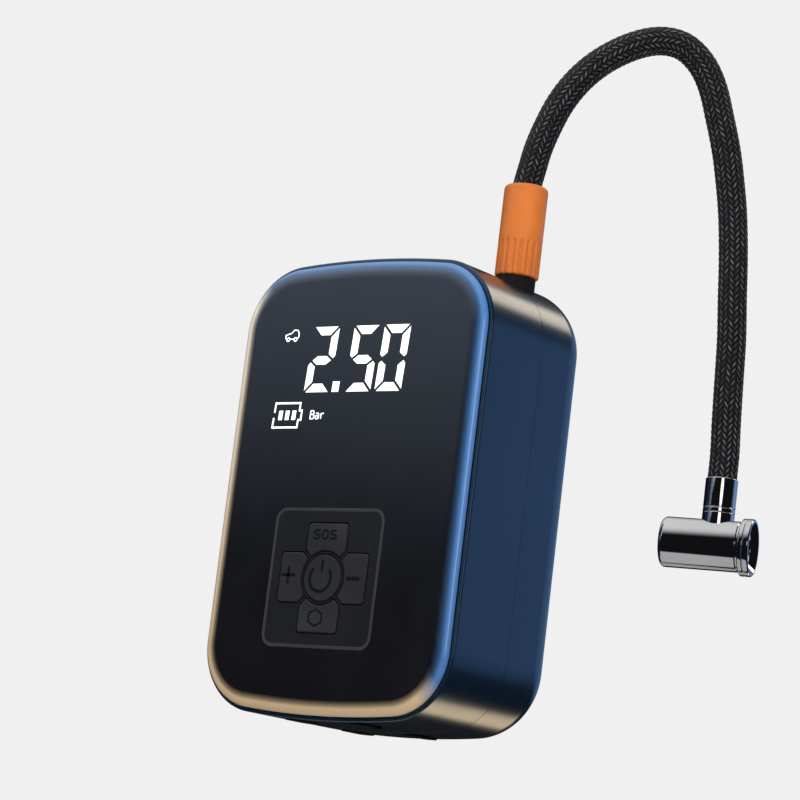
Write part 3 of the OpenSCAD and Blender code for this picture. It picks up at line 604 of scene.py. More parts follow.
def add_camera():
    """Camera at the photograph's viewing angle, rolled a little."""
    data = bpy.data.cameras.new("camera")
    data.sensor_width = 36
    data.lens = CAMERA_LENS
    data.clip_start = 0.01
    camera = new_object("camera", data)
    forward = (CAMERA_TARGET - CAMERA_AT).normalized()
    level = forward.cross(Vector((0, 0, 1))).normalized()
    upright = level.cross(forward)
    right = math.cos(CAMERA_ROLL) * level + math.sin(CAMERA_ROLL) * upright
    up = math.cos(CAMERA_ROLL) * upright - math.sin(CAMERA_ROLL) * level
    turn = Matrix((right, up, -forward)).transposed()
    camera.matrix_world = Matrix.Translation(CAMERA_AT) @ turn.to_4x4()
    bpy.context.scene.camera = camera


add_camera()

# ---- Hose ----

# Route in its own upright plane: distance from the port's axis, height, in mm
HOSE_ROUTE = [
    (0, 162), (0, 168), (1, 174), (2, 180), (4, 187), (7, 195),
    (11, 202), (16, 208), (22, 213), (29, 217), (36, 219), (43, 218),
    (49, 213), (53, 206), (56, 197), (59, 187), (61, 178), (63, 167),
    (64.5, 154), (65.5, 141), (66.5, 129), (67, 116), (67.5, 103), (68, 94),
    (68, 86),
]
spigot_low, spigot_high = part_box("hose_spigot")
PORT = Vector(((spigot_low.x + spigot_high.x) / 2, (spigot_low.y + spigot_high.y) / 2, 0))
HOSE_TURN = math.radians(38)
HOSE_OUT = Vector((math.cos(HOSE_TURN), math.sin(HOSE_TURN), 0))
HOSE_SIDE = Vector((math.sin(HOSE_TURN), -math.cos(HOSE_TURN), 0))
HOSE_D = 8.6 * MM
BRAID_COLUMNS = 16
BRAID_PITCH = 1.9 * MM
BRAID_PROUD = 0.15 * MM    # the yarns' crests, above the hose's mean radius
BRAID_DEPTH = 0.4 * MM
BRAID_SLANT = 1.2          # how many pitches a yarn climbs across its column
COLUMN_STEPS = 8
RING_STEP = 0.25 * MM
CURVE_STEPS = 40           # steps between two points of the route
SMOOTH_STEPS = 21          # length of the running mean that takes out the kinks


def hose_line():
    """Evenly spaced points of a smooth curve through the route."""
    stops = [PORT + HOSE_OUT * s * MM + Vector((0, 0, z * MM)) for s, z in HOSE_ROUTE]
    ends = [2 * stops[0] - stops[1], *stops, 2 * stops[-1] - stops[-2]]
    fine = []
    for a, b, c, d in zip(ends, ends[1:], ends[2:], ends[3:]):
        for k in range(CURVE_STEPS):
            t = k / CURVE_STEPS
            fine.append(
                0.5 * (2 * b + (c - a) * t + (2 * a - 5 * b + 4 * c - d) * t ** 2
                       + (3 * b - a - 3 * c + d) * t ** 3)
            )
    fine.append(stops[-1])
    points = np.array(fine)
    steps = np.linalg.norm(np.diff(points, axis=0), axis=1)
    along = np.concatenate([[0], np.cumsum(steps)])
    spaced = np.linspace(0, along[-1], round(along[-1] / RING_STEP) + 1)
    even = np.stack([np.interp(spaced, along, points[:, k]) for k in range(3)], axis=1)
    padded = np.concatenate([
        2 * even[0] - even[SMOOTH_STEPS:0:-1],
        even,
        2 * even[-1] - even[-2:-SMOOTH_STEPS - 2:-1],
    ])
    kernel = np.ones(SMOOTH_STEPS) / SMOOTH_STEPS
    smooth = np.stack([np.convolve(padded[:, k], kernel, "same") for k in range(3)], axis=1)
    return smooth[SMOOTH_STEPS:-SMOOTH_STEPS], spaced


def braid(theta, along):
    """Height of the braid, from 0 to 1, and a fixed random number for each of its yarns, the
    strength of its painted highlight.
    """
    column = np.floor(theta * BRAID_COLUMNS / (2 * np.pi) + 1e-6)
    across = theta * BRAID_COLUMNS / (2 * np.pi) - column
    slant = np.where(column % 2 == 0, 1, -1) * BRAID_SLANT
    phase = along / BRAID_PITCH + slant * (across - 0.5) + 0.5 * (column % 2)
    dash = np.floor(phase)
    ridge = np.sin(np.pi * (phase - dash)) ** 0.7
    dip = np.sin(np.pi * np.clip(across, 0.02, 1)) ** 0.5
    # The usual hash from a sine, the same in each run
    chance = np.modf(np.abs(np.sin(dash * 12.9898 + column * 78.233) * 43758.5453))[0]
    return ridge * (0.35 + 0.65 * dip), chance


def add_hose():
    """Braided hose as one closed tube whose yarns are real relief."""
    line, along = hose_line()
    tangent = np.gradient(line, axis=0)
    tangent /= np.linalg.norm(tangent, axis=1)[:, None]
    side = np.array(HOSE_SIDE)
    out = np.cross(tangent, side)
    sides = BRAID_COLUMNS * COLUMN_STEPS
    theta = np.arange(sides) * 2 * np.pi / sides
    height, chance = braid(theta[None, :], along[:, None])
    radius = HOSE_D / 2 + BRAID_PROUD - BRAID_DEPTH * (1 - height)
    points = (
        line[:, None, :]
        + radius[..., None] * (np.cos(theta)[None, :, None] * out[:, None, :]
                               + np.sin(theta)[None, :, None] * side[None, None, :])
    )
    rings = len(line)
    index = np.arange(rings * sides).reshape(rings, sides)
    ahead = np.roll(index, -1, axis=1)
    quads = np.stack([index[:-1], ahead[:-1], ahead[1:], index[1:]], axis=-1).reshape(-1, 4)
    mesh = bpy.data.meshes.new("hose_braid")
    mesh.from_pydata(
        points.reshape(-1, 3).tolist(), [],
        quads.tolist() + [index[0][::-1].tolist(), index[-1].tolist()],
    )
    for key, values in (("braid_height", height), ("braid_highlight_strength", chance)):
        layer = mesh.attributes.new(key, "FLOAT", "POINT")
        layer.data.foreach_set("value", np.ascontiguousarray(values, dtype=np.float32).ravel())
    set_shading(mesh, 180)
    mesh.materials.append(YARN)
    hose = new_object("braided_hose", mesh)
    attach(hose, "hose_set")
    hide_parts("hose")
    hose.visible_glossy = False
    return hose, line


# ---- Collar ----

collar_low, collar_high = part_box("hose_collar")
COLLAR_R = (collar_high.x - collar_low.x) / 2
FLUTES = 18
FLUTE_H = 11 * MM
FLUTE_D = 0.5 * MM
FLUTE_FADE = 0.8 * MM      # height over which a flute runs out at its top
FLUTE_HALF = 0.24          # half a flute's width, as a share of the pitch
FLUTE_STEPS = 14           # facets of one flute and its land
GRIP_ROWS = 24             # rings of facets up the grip
COLLAR_SHOULDER = 3.05 * MM   # the nut's shoulder, above the spigot's foot
NECK_GAP = 0.3 * MM        # room between the nut's neck and the hose


def add_collar():
    """Orange union nut: a plain sleeve over a fluted grip."""
    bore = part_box("outlet_port")
    port_r = (bore[1].x - bore[0].x) / 2 + CLEARANCE
    neck_r = HOSE_D / 2 + NECK_GAP
    shoulder = spigot_low.z + COLLAR_SHOULDER
    low, high = collar_low.z, collar_high.z
    grip_top = low + FLUTE_H
    wall = [(COLLAR_R, low + FLUTE_H * k / GRIP_ROWS, 0) for k in range(3, GRIP_ROWS + 4)]
    profile = rounded([
        (port_r, low, 0.2 * MM), (COLLAR_R, low, 0.7 * MM), *wall, (COLLAR_R, high, 1.4 * MM),
        (neck_r, high, 0.4 * MM), (neck_r, shoulder, 0), (port_r, shoulder, 0),
    ])
    steps = FLUTES * FLUTE_STEPS
    bm = bmesh.new()
    rows = []
    for r, h in profile:
        outer = r > (COLLAR_R + neck_r) / 2
        fade = min(1, max(0, (grip_top - h) / FLUTE_FADE)) if outer else 0
        ring = []
        for k in range(steps):
            a = 2 * math.pi * k / steps
            groove = max(0, 1 - abs((a * FLUTES / (2 * math.pi)) % 1 - 0.5) / FLUTE_HALF)
            dent = FLUTE_D * math.sin(groove * math.pi / 2) ** 0.8 * math.sqrt(fade)
            ring.append(bm.verts.new((
                PORT.x + (r - dent) * math.cos(a), PORT.y + (r - dent) * math.sin(a), h
            )))
        rows.append(ring)
    skin(bm, rows, closed=True)
    add_piece("collar_nut", bm, ORANGE, "collar", "orange_plastic", "hose_collar", angle=40)


# ---- Chuck ----

ferrule_low, ferrule_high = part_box("hose_ferrule")
CHUCK_Z = 66 * MM
CHUCK = Vector((
    (ferrule_low.x + ferrule_high.x) / 2, (ferrule_low.y + ferrule_high.y) / 2, CHUCK_Z
))
CHUCK_TURN = math.radians(20)
BARREL_R = 7.6 * MM
BARREL_BACK = -16.2 * MM
BARREL_FRONT = 8 * MM
NOSE_R = 8.6 * MM
NOSE_FRONT = 11.5 * MM
MOUTH_R = 5.4 * MM
LIP_R = 7.7 * MM           # where the mouth starts to slope in
VALVE_R = 3.9 * MM
SEAL_R = 6.1 * MM
SEAL_BACK = 1.5 * MM
POCKET_BACK = -3.5 * MM    # floor of the pocket that holds the seal
BORE_R = 4.6 * MM
BORE_BACK = -9.3 * MM
WELL_R = 3 * MM            # the bore's narrow end
WELL_BACK = -13.9 * MM
BARREL_STEP = 0.35 * MM    # step down in the barrel's radius next to the mouth ring
AIR_R = 1.5 * MM           # air passage of the neck and the stem
STEM_R = 3.5 * MM
STEM_TOP = 81 * MM
NECK_R = 4.85 * MM
NECK_FOOT = 5.8 * MM       # above the barrel's axis
GROOVE_D = 0.25 * MM       # the fine turned grooves
GROOVE_LIP = 0.12 * MM


def add_chuck():
    """Polished barrel, mouth ring, seal and ferrule, from (radius, height, fillet) points."""
    along = (
        Matrix.Translation(CHUCK)
        @ Matrix.Rotation(CHUCK_TURN, 4, "Z")
        @ Matrix.Rotation(math.pi / 2, 4, "Y")
    )
    upright = Matrix.Translation((CHUCK.x, CHUCK.y, 0))
    bm = bmesh.new()
    lathe(bm, rounded([
        (0, BARREL_BACK, 0), (BARREL_R, BARREL_BACK, 1.6 * MM),
        (BARREL_R, BARREL_FRONT - 0.9 * MM, 0.15 * MM),
        (BARREL_R - BARREL_STEP, BARREL_FRONT - 0.7 * MM, 0.1 * MM),
        (BARREL_R - BARREL_STEP, BARREL_FRONT, 0), (SEAL_R, BARREL_FRONT, 0),
        (SEAL_R, POCKET_BACK, 0), (BORE_R, POCKET_BACK, 0), (BORE_R, BORE_BACK, 0),
        (WELL_R, BORE_BACK, 0), (WELL_R, WELL_BACK, 0), (0, WELL_BACK, 0),
    ]), along, FINE_TURN_STEPS)
    add_piece("chuck_barrel", bm, CHROME, "hose_set", "chrome", "chuck_body", "chuck_end_cap")

    bm = bmesh.new()
    foot, top = ferrule_low.z, ferrule_high.z
    lathe(bm, rounded([
        (AIR_R, CHUCK.z + NECK_FOOT, 0), (NECK_R, CHUCK.z + NECK_FOOT, 0),
        (NECK_R, foot - CLEARANCE, 0.2 * MM), (AIR_R, foot - CLEARANCE, 0),
    ]), upright)
    add_piece("chuck_neck", bm, CHROME, "hose_set", "chrome")

    bm = bmesh.new()
    groove = NECK_R - GROOVE_D
    lathe(bm, rounded([
        (STEM_R, foot, 0), (NECK_R, foot, 0.2 * MM), (NECK_R, foot + 1.2 * MM, GROOVE_LIP),
        (groove, foot + 1.3 * MM, 0.05 * MM), (groove, foot + 1.5 * MM, 0.05 * MM),
        (NECK_R, foot + 1.6 * MM, GROOVE_LIP), (NECK_R, top, 0.35 * MM), (AIR_R, top, 0),
        (AIR_R, STEM_TOP, 0), (STEM_R, STEM_TOP, 0),
    ]), upright)
    add_piece("ferrule", bm, CHROME, "hose_set", "chrome", "hose_ferrule")

    bm = bmesh.new()
    groove = NOSE_R - GROOVE_D
    lathe(bm, rounded([
        (MOUTH_R, BARREL_FRONT, 0), (NOSE_R, BARREL_FRONT, 0.5 * MM),
        (NOSE_R, NOSE_FRONT - 2.1 * MM, GROOVE_LIP), (groove, NOSE_FRONT - 2 * MM, 0.08 * MM),
        (groove, NOSE_FRONT - 1.8 * MM, 0.08 * MM), (NOSE_R, NOSE_FRONT - 1.7 * MM, GROOVE_LIP),
        (NOSE_R, NOSE_FRONT, 0.5 * MM), (LIP_R, NOSE_FRONT, 0.25 * MM),
        (MOUTH_R, NOSE_FRONT - 2 * MM, 0.3 * MM),
    ]), along, FINE_TURN_STEPS)
    add_piece("mouth_ring", bm, CHROME, "hose_set", "chrome", "chuck_nose")

    bm = bmesh.new()
    lathe(bm, rounded([
        (VALVE_R, SEAL_BACK, 0.3 * MM), (SEAL_R, SEAL_BACK, 0), (SEAL_R, BARREL_FRONT, 0),
        (5.2 * MM, BARREL_FRONT + 0.6 * MM, 0.5 * MM), (VALVE_R, BARREL_FRONT, 0.4 * MM),
    ]), along)
    add_piece("valve_seal", bm, RUBBER, "hose_set", "black_rubber", "chuck_seal")


finish_cad_nodes()
hose, hose_path = add_hose()
add_collar()
add_chuck()

# ---- Case ----

CUT_STEPS = 64
CUT_TOP = 150 * MM         # above the case
PORT_CUT_LOW = 120 * MM
LENS_CUT_LOW = 130 * MM
PORT_GAP = 0.1 * MM        # room round the dark ring under the nut, whose black stands for the shade there, and round the lens
USB_MARGIN = 0.4 * MM      # room round the charging receptacle
USB_SLOT_R = 1.9 * MM
USB_CUT_DEEP = 4 * MM
VENT_W = 22 * MM
VENT_H = 1.5 * MM
VENT_R = 0.74 * MM
VENT_PITCH = 3.2 * MM
VENTS_EACH_WAY = 4         # vents above the middle one, and below it
VENT_CUT_DEEP = 4 * MM
SCREWS_AT = ((33, 20), (-33, 20), (36, 108), (-36, 108))   # in mm
SCREW_RECESS_R = 2.9 * MM
SCREW_RECESS_POINTS = 48
SCREW_RECESS_FLOOR = 20.4 * MM
KEYPAD_CORNER_R = 4 * MM
LIP_ROUND = 0.5 * MM       # the round lip behind the panel
SEAM_EASE = 0.08 * MM      # the broken edges of the parting line
EDGE_STEPS = 20
BACK_STEPS = 24
INNER_STEPS = 8


def quarter(width, depth, steps):
    """Inset and depth offsets of a rounded edge, from the face round to the side."""
    angles = [math.pi / 2 * i / steps for i in range(steps + 1)]
    return [(width * (1 - math.sin(a)), depth * (1 - math.cos(a))) for a in angles]


def add_front_panel():
    """Tinted panel whose edge rolls back into the case, with the keypad's window."""
    bm = bmesh.new()
    roll = quarter(EDGE_W, EDGE_D, EDGE_STEPS)
    edge = [case_ring(SEAM_INSET + dx, FRONT + dy) for dx, dy in roll]
    edge.append(case_ring(SEAM_INSET, PANEL_BACK))
    rows = [[bm.verts.new(p) for p in ring] for ring in edge]
    ring_low, ring_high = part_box("keypad_ring")
    window = round_rect(
        PAD.x, PAD.z, ring_high.x - ring_low.x, ring_high.z - ring_low.z, KEYPAD_CORNER_R
    )
    walls = [[bm.verts.new((x, y, z)) for x, z in window] for y in (FRONT, PANEL_BACK)]
    for a, b in [*zip(rows, rows[1:]), walls]:
        bridge(bm, a, b)
    for outer, inner in ((rows[0], walls[0]), (rows[-1], walls[1])):
        rim = [
            bm.edges.get((loop[i - 1], loop[i])) for loop in (outer, inner) for i in range(len(loop))
        ]
        bmesh.ops.triangle_fill(bm, edges=rim, use_beauty=True)
    panel = add_piece("glass_panel", bm, GLASS, "case", "panel_gloss", "front_panel")
    add_modifier(panel, "WEIGHTED_NORMAL", keep_sharp=True)


def port_cutter(bm):
    """Hole in the top for the outlet port and the dark ring under the nut, whose black stands for
    the shade there.
    """
    seat_low, seat_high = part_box("port_seat")
    r = (seat_high.x - seat_low.x) / 2 + PORT_GAP
    profile = [(0, PORT_CUT_LOW), (r, PORT_CUT_LOW), (r, CUT_TOP), (0, CUT_TOP)]
    lathe(bm, profile, Matrix.Translation(PORT), CUT_STEPS)


def add_housing():
    """Front half of the case: a thin wall with a fine round lip behind the panel."""
    lip = LIP_ROUND
    ease = SEAM_EASE
    stations = [
        (WALL, LIP), (1.6 * MM, LIP), (lip, LIP), (0.7 * lip, LIP + 0.05 * lip),
        (0.3 * lip, LIP + 0.3 * lip), (0.05 * lip, LIP + 0.7 * lip), (0, LIP + lip),
        (0, LIP + 1.4 * MM), (0, SPLIT - ease), (0.3 * ease, SPLIT - 0.3 * ease),
        (ease, SPLIT), (WALL, SPLIT),
    ]
    bm = bmesh.new()
    loft(bm, [case_ring(i, y) for i, y in stations], closed=True)
    housing = add_piece("case_front", bm, LACQUER, "case", "case_paint", "main_housing")
    tool = bmesh.new()
    port_cutter(tool)
    lens_low, lens_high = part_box("light_lens")
    lens = round_rect(
        (lens_low.x + lens_high.x) / 2, (lens_low.y + lens_high.y) / 2,
        lens_high.x - lens_low.x + 2 * PORT_GAP, lens_high.y - lens_low.y + 2 * PORT_GAP,
        (lens_high.y - lens_low.y) / 2,
    )
    loft(tool, [[(x, y, z) for x, y in lens] for z in (LENS_CUT_LOW, CUT_TOP)])
    usb_low, usb_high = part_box("usb_port")
    slot = round_rect(
        (usb_low.y + usb_high.y) / 2, (usb_low.z + usb_high.z) / 2,
        usb_high.y - usb_low.y + 2 * USB_MARGIN, usb_high.z - usb_low.z + 2 * USB_MARGIN,
        USB_SLOT_R,
    )
    loft(tool, [
        [(x, y, z) for y, z in slot] for x in (-HALF_W - MM, -HALF_W + USB_CUT_DEEP)
    ])
    cut(housing, tool)
    set_shading(housing.data, 35)
    round_edges(housing, 0.25 * MM, 50)


def add_rear_cover():
    """Back half of the case, rounded all round, with vents and screw recesses."""
    split = cover_low.y
    ease = [(0, split + SEAM_EASE), (0.03 * MM, split + 0.03 * MM), (SEAM_EASE, split)]
    turn = [(dx, BACK - dy) for dx, dy in quarter(BACK_ROUND, BACK_ROUND, BACK_STEPS)]
    inner_r = BACK_ROUND - WALL
    inner = quarter(inner_r, inner_r, INNER_STEPS)
    back = [(WALL + dx, BACK - WALL - dy) for dx, dy in inner[::-1]]
    stations = turn + ease + [(WALL, split)] + back
    bm = bmesh.new()
    loft(bm, [case_ring(i, y) for i, y in stations])
    cover = add_piece("case_back", bm, LACQUER, "case", "case_paint", "rear_cover")
    tool = bmesh.new()
    port_cutter(tool)
    motor_low, motor_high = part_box("motor_can")
    mx, mz = (motor_low.x + motor_high.x) / 2, (motor_low.z + motor_high.z) / 2
    for i in range(-VENTS_EACH_WAY, VENTS_EACH_WAY + 1):
        vent = round_rect(mx, mz + VENT_PITCH * i, VENT_W, VENT_H, VENT_R)
        prism(tool, vent, BACK - VENT_CUT_DEEP, BACK + MM)
    for x, z in SCREWS_AT:
        recess = circle(x * MM, z * MM, SCREW_RECESS_R, SCREW_RECESS_POINTS)
        prism(tool, recess, SCREW_RECESS_FLOOR, BACK + MM)
    cut(cover, tool)
    set_shading(cover.data, 35)
    round_edges(cover, 0.3 * MM, 50)


# ---- Display ----

DISPLAY_SKEW = 0.055       # sideways lean of the display's characters
LIGHT_PROUD = 0.04 * MM
LIGHT_DEEP = 0.3 * MM
DISPLAY_PEN = 0.36 * MM
GAUGE_PEN = 0.58 * MM

# Lower left corner of each part of the display, in mm
GAUGE_AT = (-29.6, 87.6)
UNIT_AT = (-15.2, 89.9)
CAR_AT = (-29.0, 114.3)
POINT_X = -8.1
DIGIT_Z = 98.4

# Width, height, bar thickness and half the gap between two bars of a digit, in mm
DIGIT_SHAPE = (9.9, 20.2, 2.6, 0.6)
MIDDLE_DROP = 0.3          # how far the middle bar lies below the digit's middle, in mm
# Left end of each digit, in mm, and its lit bars
DIGITS = {
    -18.9: ("top", "upper_right", "middle", "lower_left", "bottom"),
    -3.2: ("top", "upper_left", "middle", "lower_right", "bottom"),
    8.3: ("top", "upper_left", "upper_right", "lower_left", "lower_right", "bottom"),
}
# Strokes of the unit's letters, in mm before add_display shrinks them
UNIT_STROKES = (
    [(0, 0), (0, 3), (1, 3), (1.35, 2.7), (1.35, 1.95), (1, 1.65), (0, 1.65)],
    [(0, 0), (1.1, 0), (1.5, 0.35), (1.5, 1.25), (1.1, 1.65)],
    [(3.5, 0), (3.5, 1.7), (3.2, 2.05), (2.5, 2.05), (2.3, 1.9)],
    [(3.5, 1.15), (2.6, 1.15), (2.2, 0.85), (2.2, 0.35), (2.5, 0), (3.1, 0), (3.5, 0.4)],
    [(4.5, 0), (4.5, 2.1)],
    [(4.5, 1.5), (4.9, 1.95), (5.5, 2.05)],
)


def leaned(points, x, z):
    """Points in mm from a corner at (x, z) mm, leaned to the right, in metres."""
    return [((x + px + DISPLAY_SKEW * pz) * MM, (z + pz) * MM) for px, pz in points]


def segment_shapes(w, h, t, gap):
    """Seven bars of one digit, with mitred ends."""
    mid = h / 2 - MIDDLE_DROP
    tip = 0.3 * t
    upper = [
        (0, h - gap), (t, h - t - gap), (t, mid + t / 2 + gap), (tip, mid + gap),
        (0, mid + tip + gap),
    ]
    lower = [
        (0, gap), (t, t + gap), (t, mid - t / 2 - gap), (tip, mid - gap), (0, mid - tip - gap),
    ]
    flat = [(gap, 0), (w - gap, 0), (w - t - gap, t), (t + gap, t)]
    return {
        "top": [(x, h - z) for x, z in flat],
        "bottom": flat,
        "upper_left": upper,
        "upper_right": [(w - x, z) for x, z in upper],
        "lower_left": lower,
        "lower_right": [(w - x, z) for x, z in lower],
        "middle": [
            (tip + gap, mid), (t + gap, mid + t / 2), (w - t - gap, mid + t / 2),
            (w - tip - gap, mid), (w - t - gap, mid - t / 2), (t + gap, mid - t / 2),
        ],
    }


def light_layer(bm, name):
    """Makes a lit piece of the display."""
    add_piece(name, bm, SEGMENTS, "case", "clear_lens")


def add_display():
    """Lit reading, unit, battery gauge and car symbol, at the face of the panel."""
    near, far = FRONT - LIGHT_PROUD, FRONT + LIGHT_DEEP
    bars = segment_shapes(*DIGIT_SHAPE)
    bm = bmesh.new()
    for x, lit in DIGITS.items():
        for key in lit:
            prism(bm, leaned(bars[key], x, DIGIT_Z), near, far)
    point = [(0, 0), (2.6, 0), (2.6, 3.2), (0, 3.2)]
    prism(bm, leaned(point, POINT_X, DIGIT_Z), near, far)
    light_layer(bm, "display_digits")

    bm = bmesh.new()
    case_line = [
        (0, 3.0), (0, 0), (9.7, 0), (9.7, 2.3), (10.7, 2.3), (10.7, 5.2),
        (9.7, 5.2), (9.7, 7.5), (0, 7.5), (0, 4.6),
    ]
    ribbon(bm, leaned(case_line, *GAUGE_AT), GAUGE_PEN, near, far)
    for x in (1.8, 4.4, 7.0):
        bar = [(x, 2.3), (x + 1.5, 2.3), (x + 1.5, 5.2), (x, 5.2)]
        prism(bm, leaned(bar, *GAUGE_AT), near, far)
    light_layer(bm, "display_battery")

    bm = bmesh.new()
    for line in UNIT_STROKES:
        smaller = [(0.92 * x, 0.82 * z + 0.3) for x, z in line]
        ribbon(bm, leaned(smaller, *UNIT_AT), DISPLAY_PEN, near, far)
    light_layer(bm, "display_unit")

    bm = bmesh.new()
    hull = [
        (0.8, 0.8), (0.2, 1.1), (0.1, 2.0), (1.0, 2.3), (2.2, 2.6), (3.2, 3.6),
        (4.6, 3.5), (5.2, 2.6), (5.3, 1.4), (4.7, 0.8),
    ]
    ribbon(bm, leaned(hull, *CAR_AT), DISPLAY_PEN, near, far)
    ribbon(bm, leaned([(1.9, 0.8), (3.5, 0.8)], *CAR_AT), DISPLAY_PEN, near, far)
    for x in (1.3, 4.1):
        wheel = circle(x, 0.7, 0.55, 16)
        ribbon(bm, leaned(wheel, *CAR_AT), DISPLAY_PEN, near, far, closed=True)
    light_layer(bm, "display_car")


# ---- Keypad ----

BUTTON_EDGE = 0.35 * MM
PRINT_PROUD = 0.03 * MM
PRINT_DEEP = 0.3 * MM
# Middle of each symbol, in mm from the middle of its button
POWER_AT = (-0.7, -0.1)
SOS_AT = (-0.7, 1.3)
PLUS_AT = (-1.4, 0.6)
MODE_AT = (-0.8, -0.25)
LETTER_PITCH = 3.1
PLUS_REACH = 2.7
MINUS_REACH = 2.5
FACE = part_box("button_power")[0].y


def add_print(name, button, strokes, pen):
    """Black symbol on a button's face, of (points, closed) strokes. All sizes are in mm."""
    bm = bmesh.new()
    low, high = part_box(button)
    cx, cz = (low.x + high.x) / 2, (low.z + high.z) / 2
    for line, closed in strokes:
        placed = [(cx + x * MM, cz + z * MM) for x, z in line]
        ribbon(bm, placed, pen * MM, FACE - PRINT_PROUD, FACE + PRINT_DEEP, closed)
    add_piece(name, bm, PRINT, button, "button_black")


def letter_s(x, z):
    """Rounded S, 2.6 mm high and 2.2 mm wide, as one stroke."""
    upper = arc(0, 0.65, 0.65, math.radians(25), math.radians(270), 10)
    lower = arc(0, -0.65, 0.65, math.radians(90), math.radians(-155), 10)
    return [(x + 1.65 * px, z + pz) for px, pz in upper + lower[1:]]


def letter_o(x, z):
    """Upright O of the same height."""
    round_o = arc(0, 0.3, 1.0, 0, math.pi, 8) + arc(0, -0.3, 1.0, math.pi, 2 * math.pi, 8)
    return [(x + px, z + pz) for px, pz in round_o]


def add_keypad():
    """Buttons with soft edges and printed symbols, in their plate."""
    soften("keypad_ring", TRIM, "case", "grey_trim", 0.12 * MM)
    soften("keypad_plate", BLACK, "case", "black_plastic", 0.2 * MM)
    for name in ("power", "light", "minus", "mode", "plus"):
        node = "button_" + name
        soften(node, BUTTON, node, "button_black", BUTTON_EDGE)
    x, z = POWER_AT
    ring = arc(x, z, 4.0, math.radians(136), math.radians(398), 32)
    add_print("print_power", "button_power", [
        (ring, False), ([(x + 0.3, z + 1.9), (x + 0.3, z + 5.4)], False),
    ], 0.95)
    x, z = SOS_AT
    add_print("print_sos", "button_light", [
        (letter_s(x - LETTER_PITCH, z), False),
        (letter_o(x, z), True),
        (letter_s(x + LETTER_PITCH, z), False),
    ], 0.6)
    x, z = PLUS_AT
    add_print("print_plus", "button_plus", [
        ([(x - PLUS_REACH, z), (x + PLUS_REACH, z)], False),
        ([(x, z - PLUS_REACH), (x, z + PLUS_REACH)], False),
    ], 0.85)
    minus = [(-MINUS_REACH, 0), (MINUS_REACH, 0)]
    add_print("print_minus", "button_minus", [(minus, False)], 1.1)
    x, z = MODE_AT
    hexagon = arc(0, 0, 2.5, math.pi / 2, math.pi * 13 / 6, 5)
    add_print("print_mode", "button_mode", [
        ([(px * 1.15 + x, pz + z) for px, pz in hexagon], True),
    ], 0.55)


add_front_panel()
add_housing()
add_rear_cover()
add_display()
add_keypad()
soften("light_lens", LENS, "case", "clear_lens", 0.4 * MM)
soften("rear_screws", SCREW, "case", "screw_black", 0.25 * MM)
soften("feet", RUBBER, "case", "black_rubber", 0.3 * MM)

# ---- Studio ----


class Sky(Nodes):
    """World shader made of soft patches of light on a dark surround."""

    def __init__(self):
        world = bpy.data.worlds.new("studio")
        bpy.context.scene.world = world
        world.use_nodes = True
        self.tree = world.node_tree
        self.tree.nodes.clear()
        self.toward = self.node("ShaderNodeTexCoord").outputs["Generated"]
        self.total = None

    def math(self, operation, a, b):
        made = self.node("ShaderNodeVectorMath", operation=operation)
        for socket, value in zip(made.inputs, (a, b)):
            if isinstance(value, bpy.types.NodeSocket):
                self.link(value, socket)
            else:
                socket.default_value = value
        return made.outputs["Value" if operation == "DOT_PRODUCT" else "Vector"]

    def add(self, color):
        self.total = color if self.total is None else self.math("ADD", self.total, color)

    def patch(self, toward, inner, outer, color, strength, flatten=(1, 1, 1)):
        """Patch of light around a direction: full inside inner degrees, none past outer."""
        squeezed = self.math("MULTIPLY", self.toward, flatten)
        level = self.node("ShaderNodeVectorMath", operation="NORMALIZE")
        self.link(squeezed, level.inputs[0])
        axis = Vector([a * f for a, f in zip(toward, flatten)]).normalized()
        dot = self.math("DOT_PRODUCT", level.outputs["Vector"], axis)
        ramp = self.node("ShaderNodeMapRange", interpolation_type="SMOOTHSTEP")
        ramp.inputs["From Min"].default_value = math.cos(math.radians(outer))
        ramp.inputs["From Max"].default_value = math.cos(math.radians(inner))
        self.link(dot, ramp.inputs["Value"])
        self.add(self.math("MULTIPLY", ramp.outputs["Result"], Vector(color) * strength))

    def finish(self, backdrop, surround):
        """Shows the plain backdrop behind the object, and the patches in its gloss."""
        self.add(surround)
        seen = self.node("ShaderNodeBackground")
        light = self.node("ShaderNodeBackground")
        seen.inputs["Color"].default_value = (*backdrop, 1)
        self.link(self.total, light.inputs["Color"])
        ray = self.node("ShaderNodeLightPath")
        both = self.node("ShaderNodeMixShader")
        out = self.node("ShaderNodeOutputWorld")
        self.link(ray.outputs["Is Camera Ray"], both.inputs["Fac"])
        self.link(light.outputs[0], both.inputs[1])
        self.link(seen.outputs[0], both.inputs[2])
        self.link(both.outputs[0], out.inputs["Surface"])


BLUE = (0.30, 0.55, 1.0)
CREAM = (1.0, 0.84, 0.62)
GOLD = (1.0, 0.74, 0.44)
WHITE = (1.0, 1.0, 1.0)


ICE = (0.72, 0.92, 1.2)
BACKDROP = (0.872, 0.872, 0.872)
SURROUND = (0.006, 0.006, 0.007)


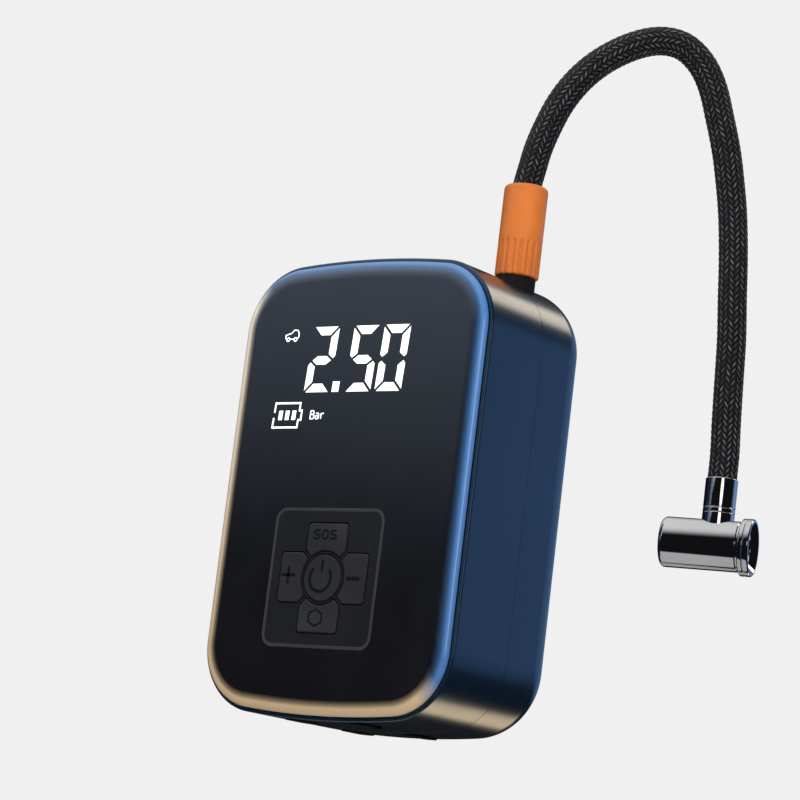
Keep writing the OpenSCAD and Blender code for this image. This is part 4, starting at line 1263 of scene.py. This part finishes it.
def add_world():
    """Light from around the object, which the camera sees only in its gloss."""
    sky = Sky()
    sky.patch((0.62, 0.77, 0.08), 10, 18, BLUE, 0.24)              # right, behind
    sky.patch((0.05, 0.99, 0.13), 24, 36, BLUE, 0.42, (1, 1, 2))   # behind
    sky.patch((0.144, 0.77, 0.622), 5.5, 12.5, CREAM, 3.1)         # behind, high
    sky.patch((-0.02, 0.80, -0.60), 6, 12, GOLD, 2.9)              # behind, low
    sky.patch((-0.62, -0.72, 0.38), 4, 26, ICE, 0.62, (1, 1, 2))   # left, in front
    sky.patch((-0.30, -0.10, 0.95), 18, 62, WHITE, 0.66)           # overhead
    sky.patch((-0.275, -0.161, -0.947), 26, 32, WHITE, 0.4)        # underneath
    sky.patch((-0.55, 0.54, -0.64), 8, 18, WHITE, 0.35)            # left, behind, low
    sky.patch((0.61, -0.77, 0.17), 7, 11, WHITE, 1.6)              # right, in front
    sky.finish(BACKDROP, SURROUND)


FLOOR_REACH = 2.0          # each way from the object


def add_floor():
    """Pale floor. Seen from below it is clear, because the camera is low."""
    mesh = bpy.data.meshes.new("floor")
    corners = [(-1, -1), (1, -1), (1, 1), (-1, 1)]
    mesh.from_pydata(
        [(x * FLOOR_REACH, y * FLOOR_REACH, cad_low.z) for x, y in corners],
        [], [(0, 1, 2, 3)],
    )
    floor = new_object("floor", mesh)
    p = Paint("floor_paper")
    p.paint(p.cloudy(400 * MM, (0.80, 0.80, 0.80), (0.84, 0.84, 0.84)))
    p.set(Roughness=0.9)
    clear = p.node("ShaderNodeBsdfTransparent")
    sides = p.node("ShaderNodeMixShader")
    behind = p.node("ShaderNodeNewGeometry").outputs["Backfacing"]
    p.link(behind, sides.inputs["Fac"])
    p.link(p.shader.outputs[0], sides.inputs[1])
    p.link(clear.outputs[0], sides.inputs[2])
    p.link(sides.outputs[0], p.tree.nodes["Material Output"].inputs["Surface"])
    mesh.materials.append(p.material)
    floor.visible_glossy = False


LIGHTS_TARGET = (0.02, 0, 0.1)


def add_light(name, place, size, power):
    """White area light that shows in no gloss."""
    data = bpy.data.lights.new(name, "AREA")
    data.size = size
    data.energy = power
    light = new_object(name, data)
    light.location = place
    aim = Vector(LIGHTS_TARGET) - Vector(place)
    light.rotation_euler = aim.to_track_quat("-Z", "Y").to_euler()
    light.visible_glossy = False


add_world()
add_floor()
add_light("key", (0.1, -0.9, 0.8), 0.5, 9)
add_light("side", (0.95, -0.3, 0.35), 0.5, 5)
add_light("back", (-0.5, 0.8, 0.7), 0.6, 5)
bpy.context.scene.view_settings.view_transform = "Standard"
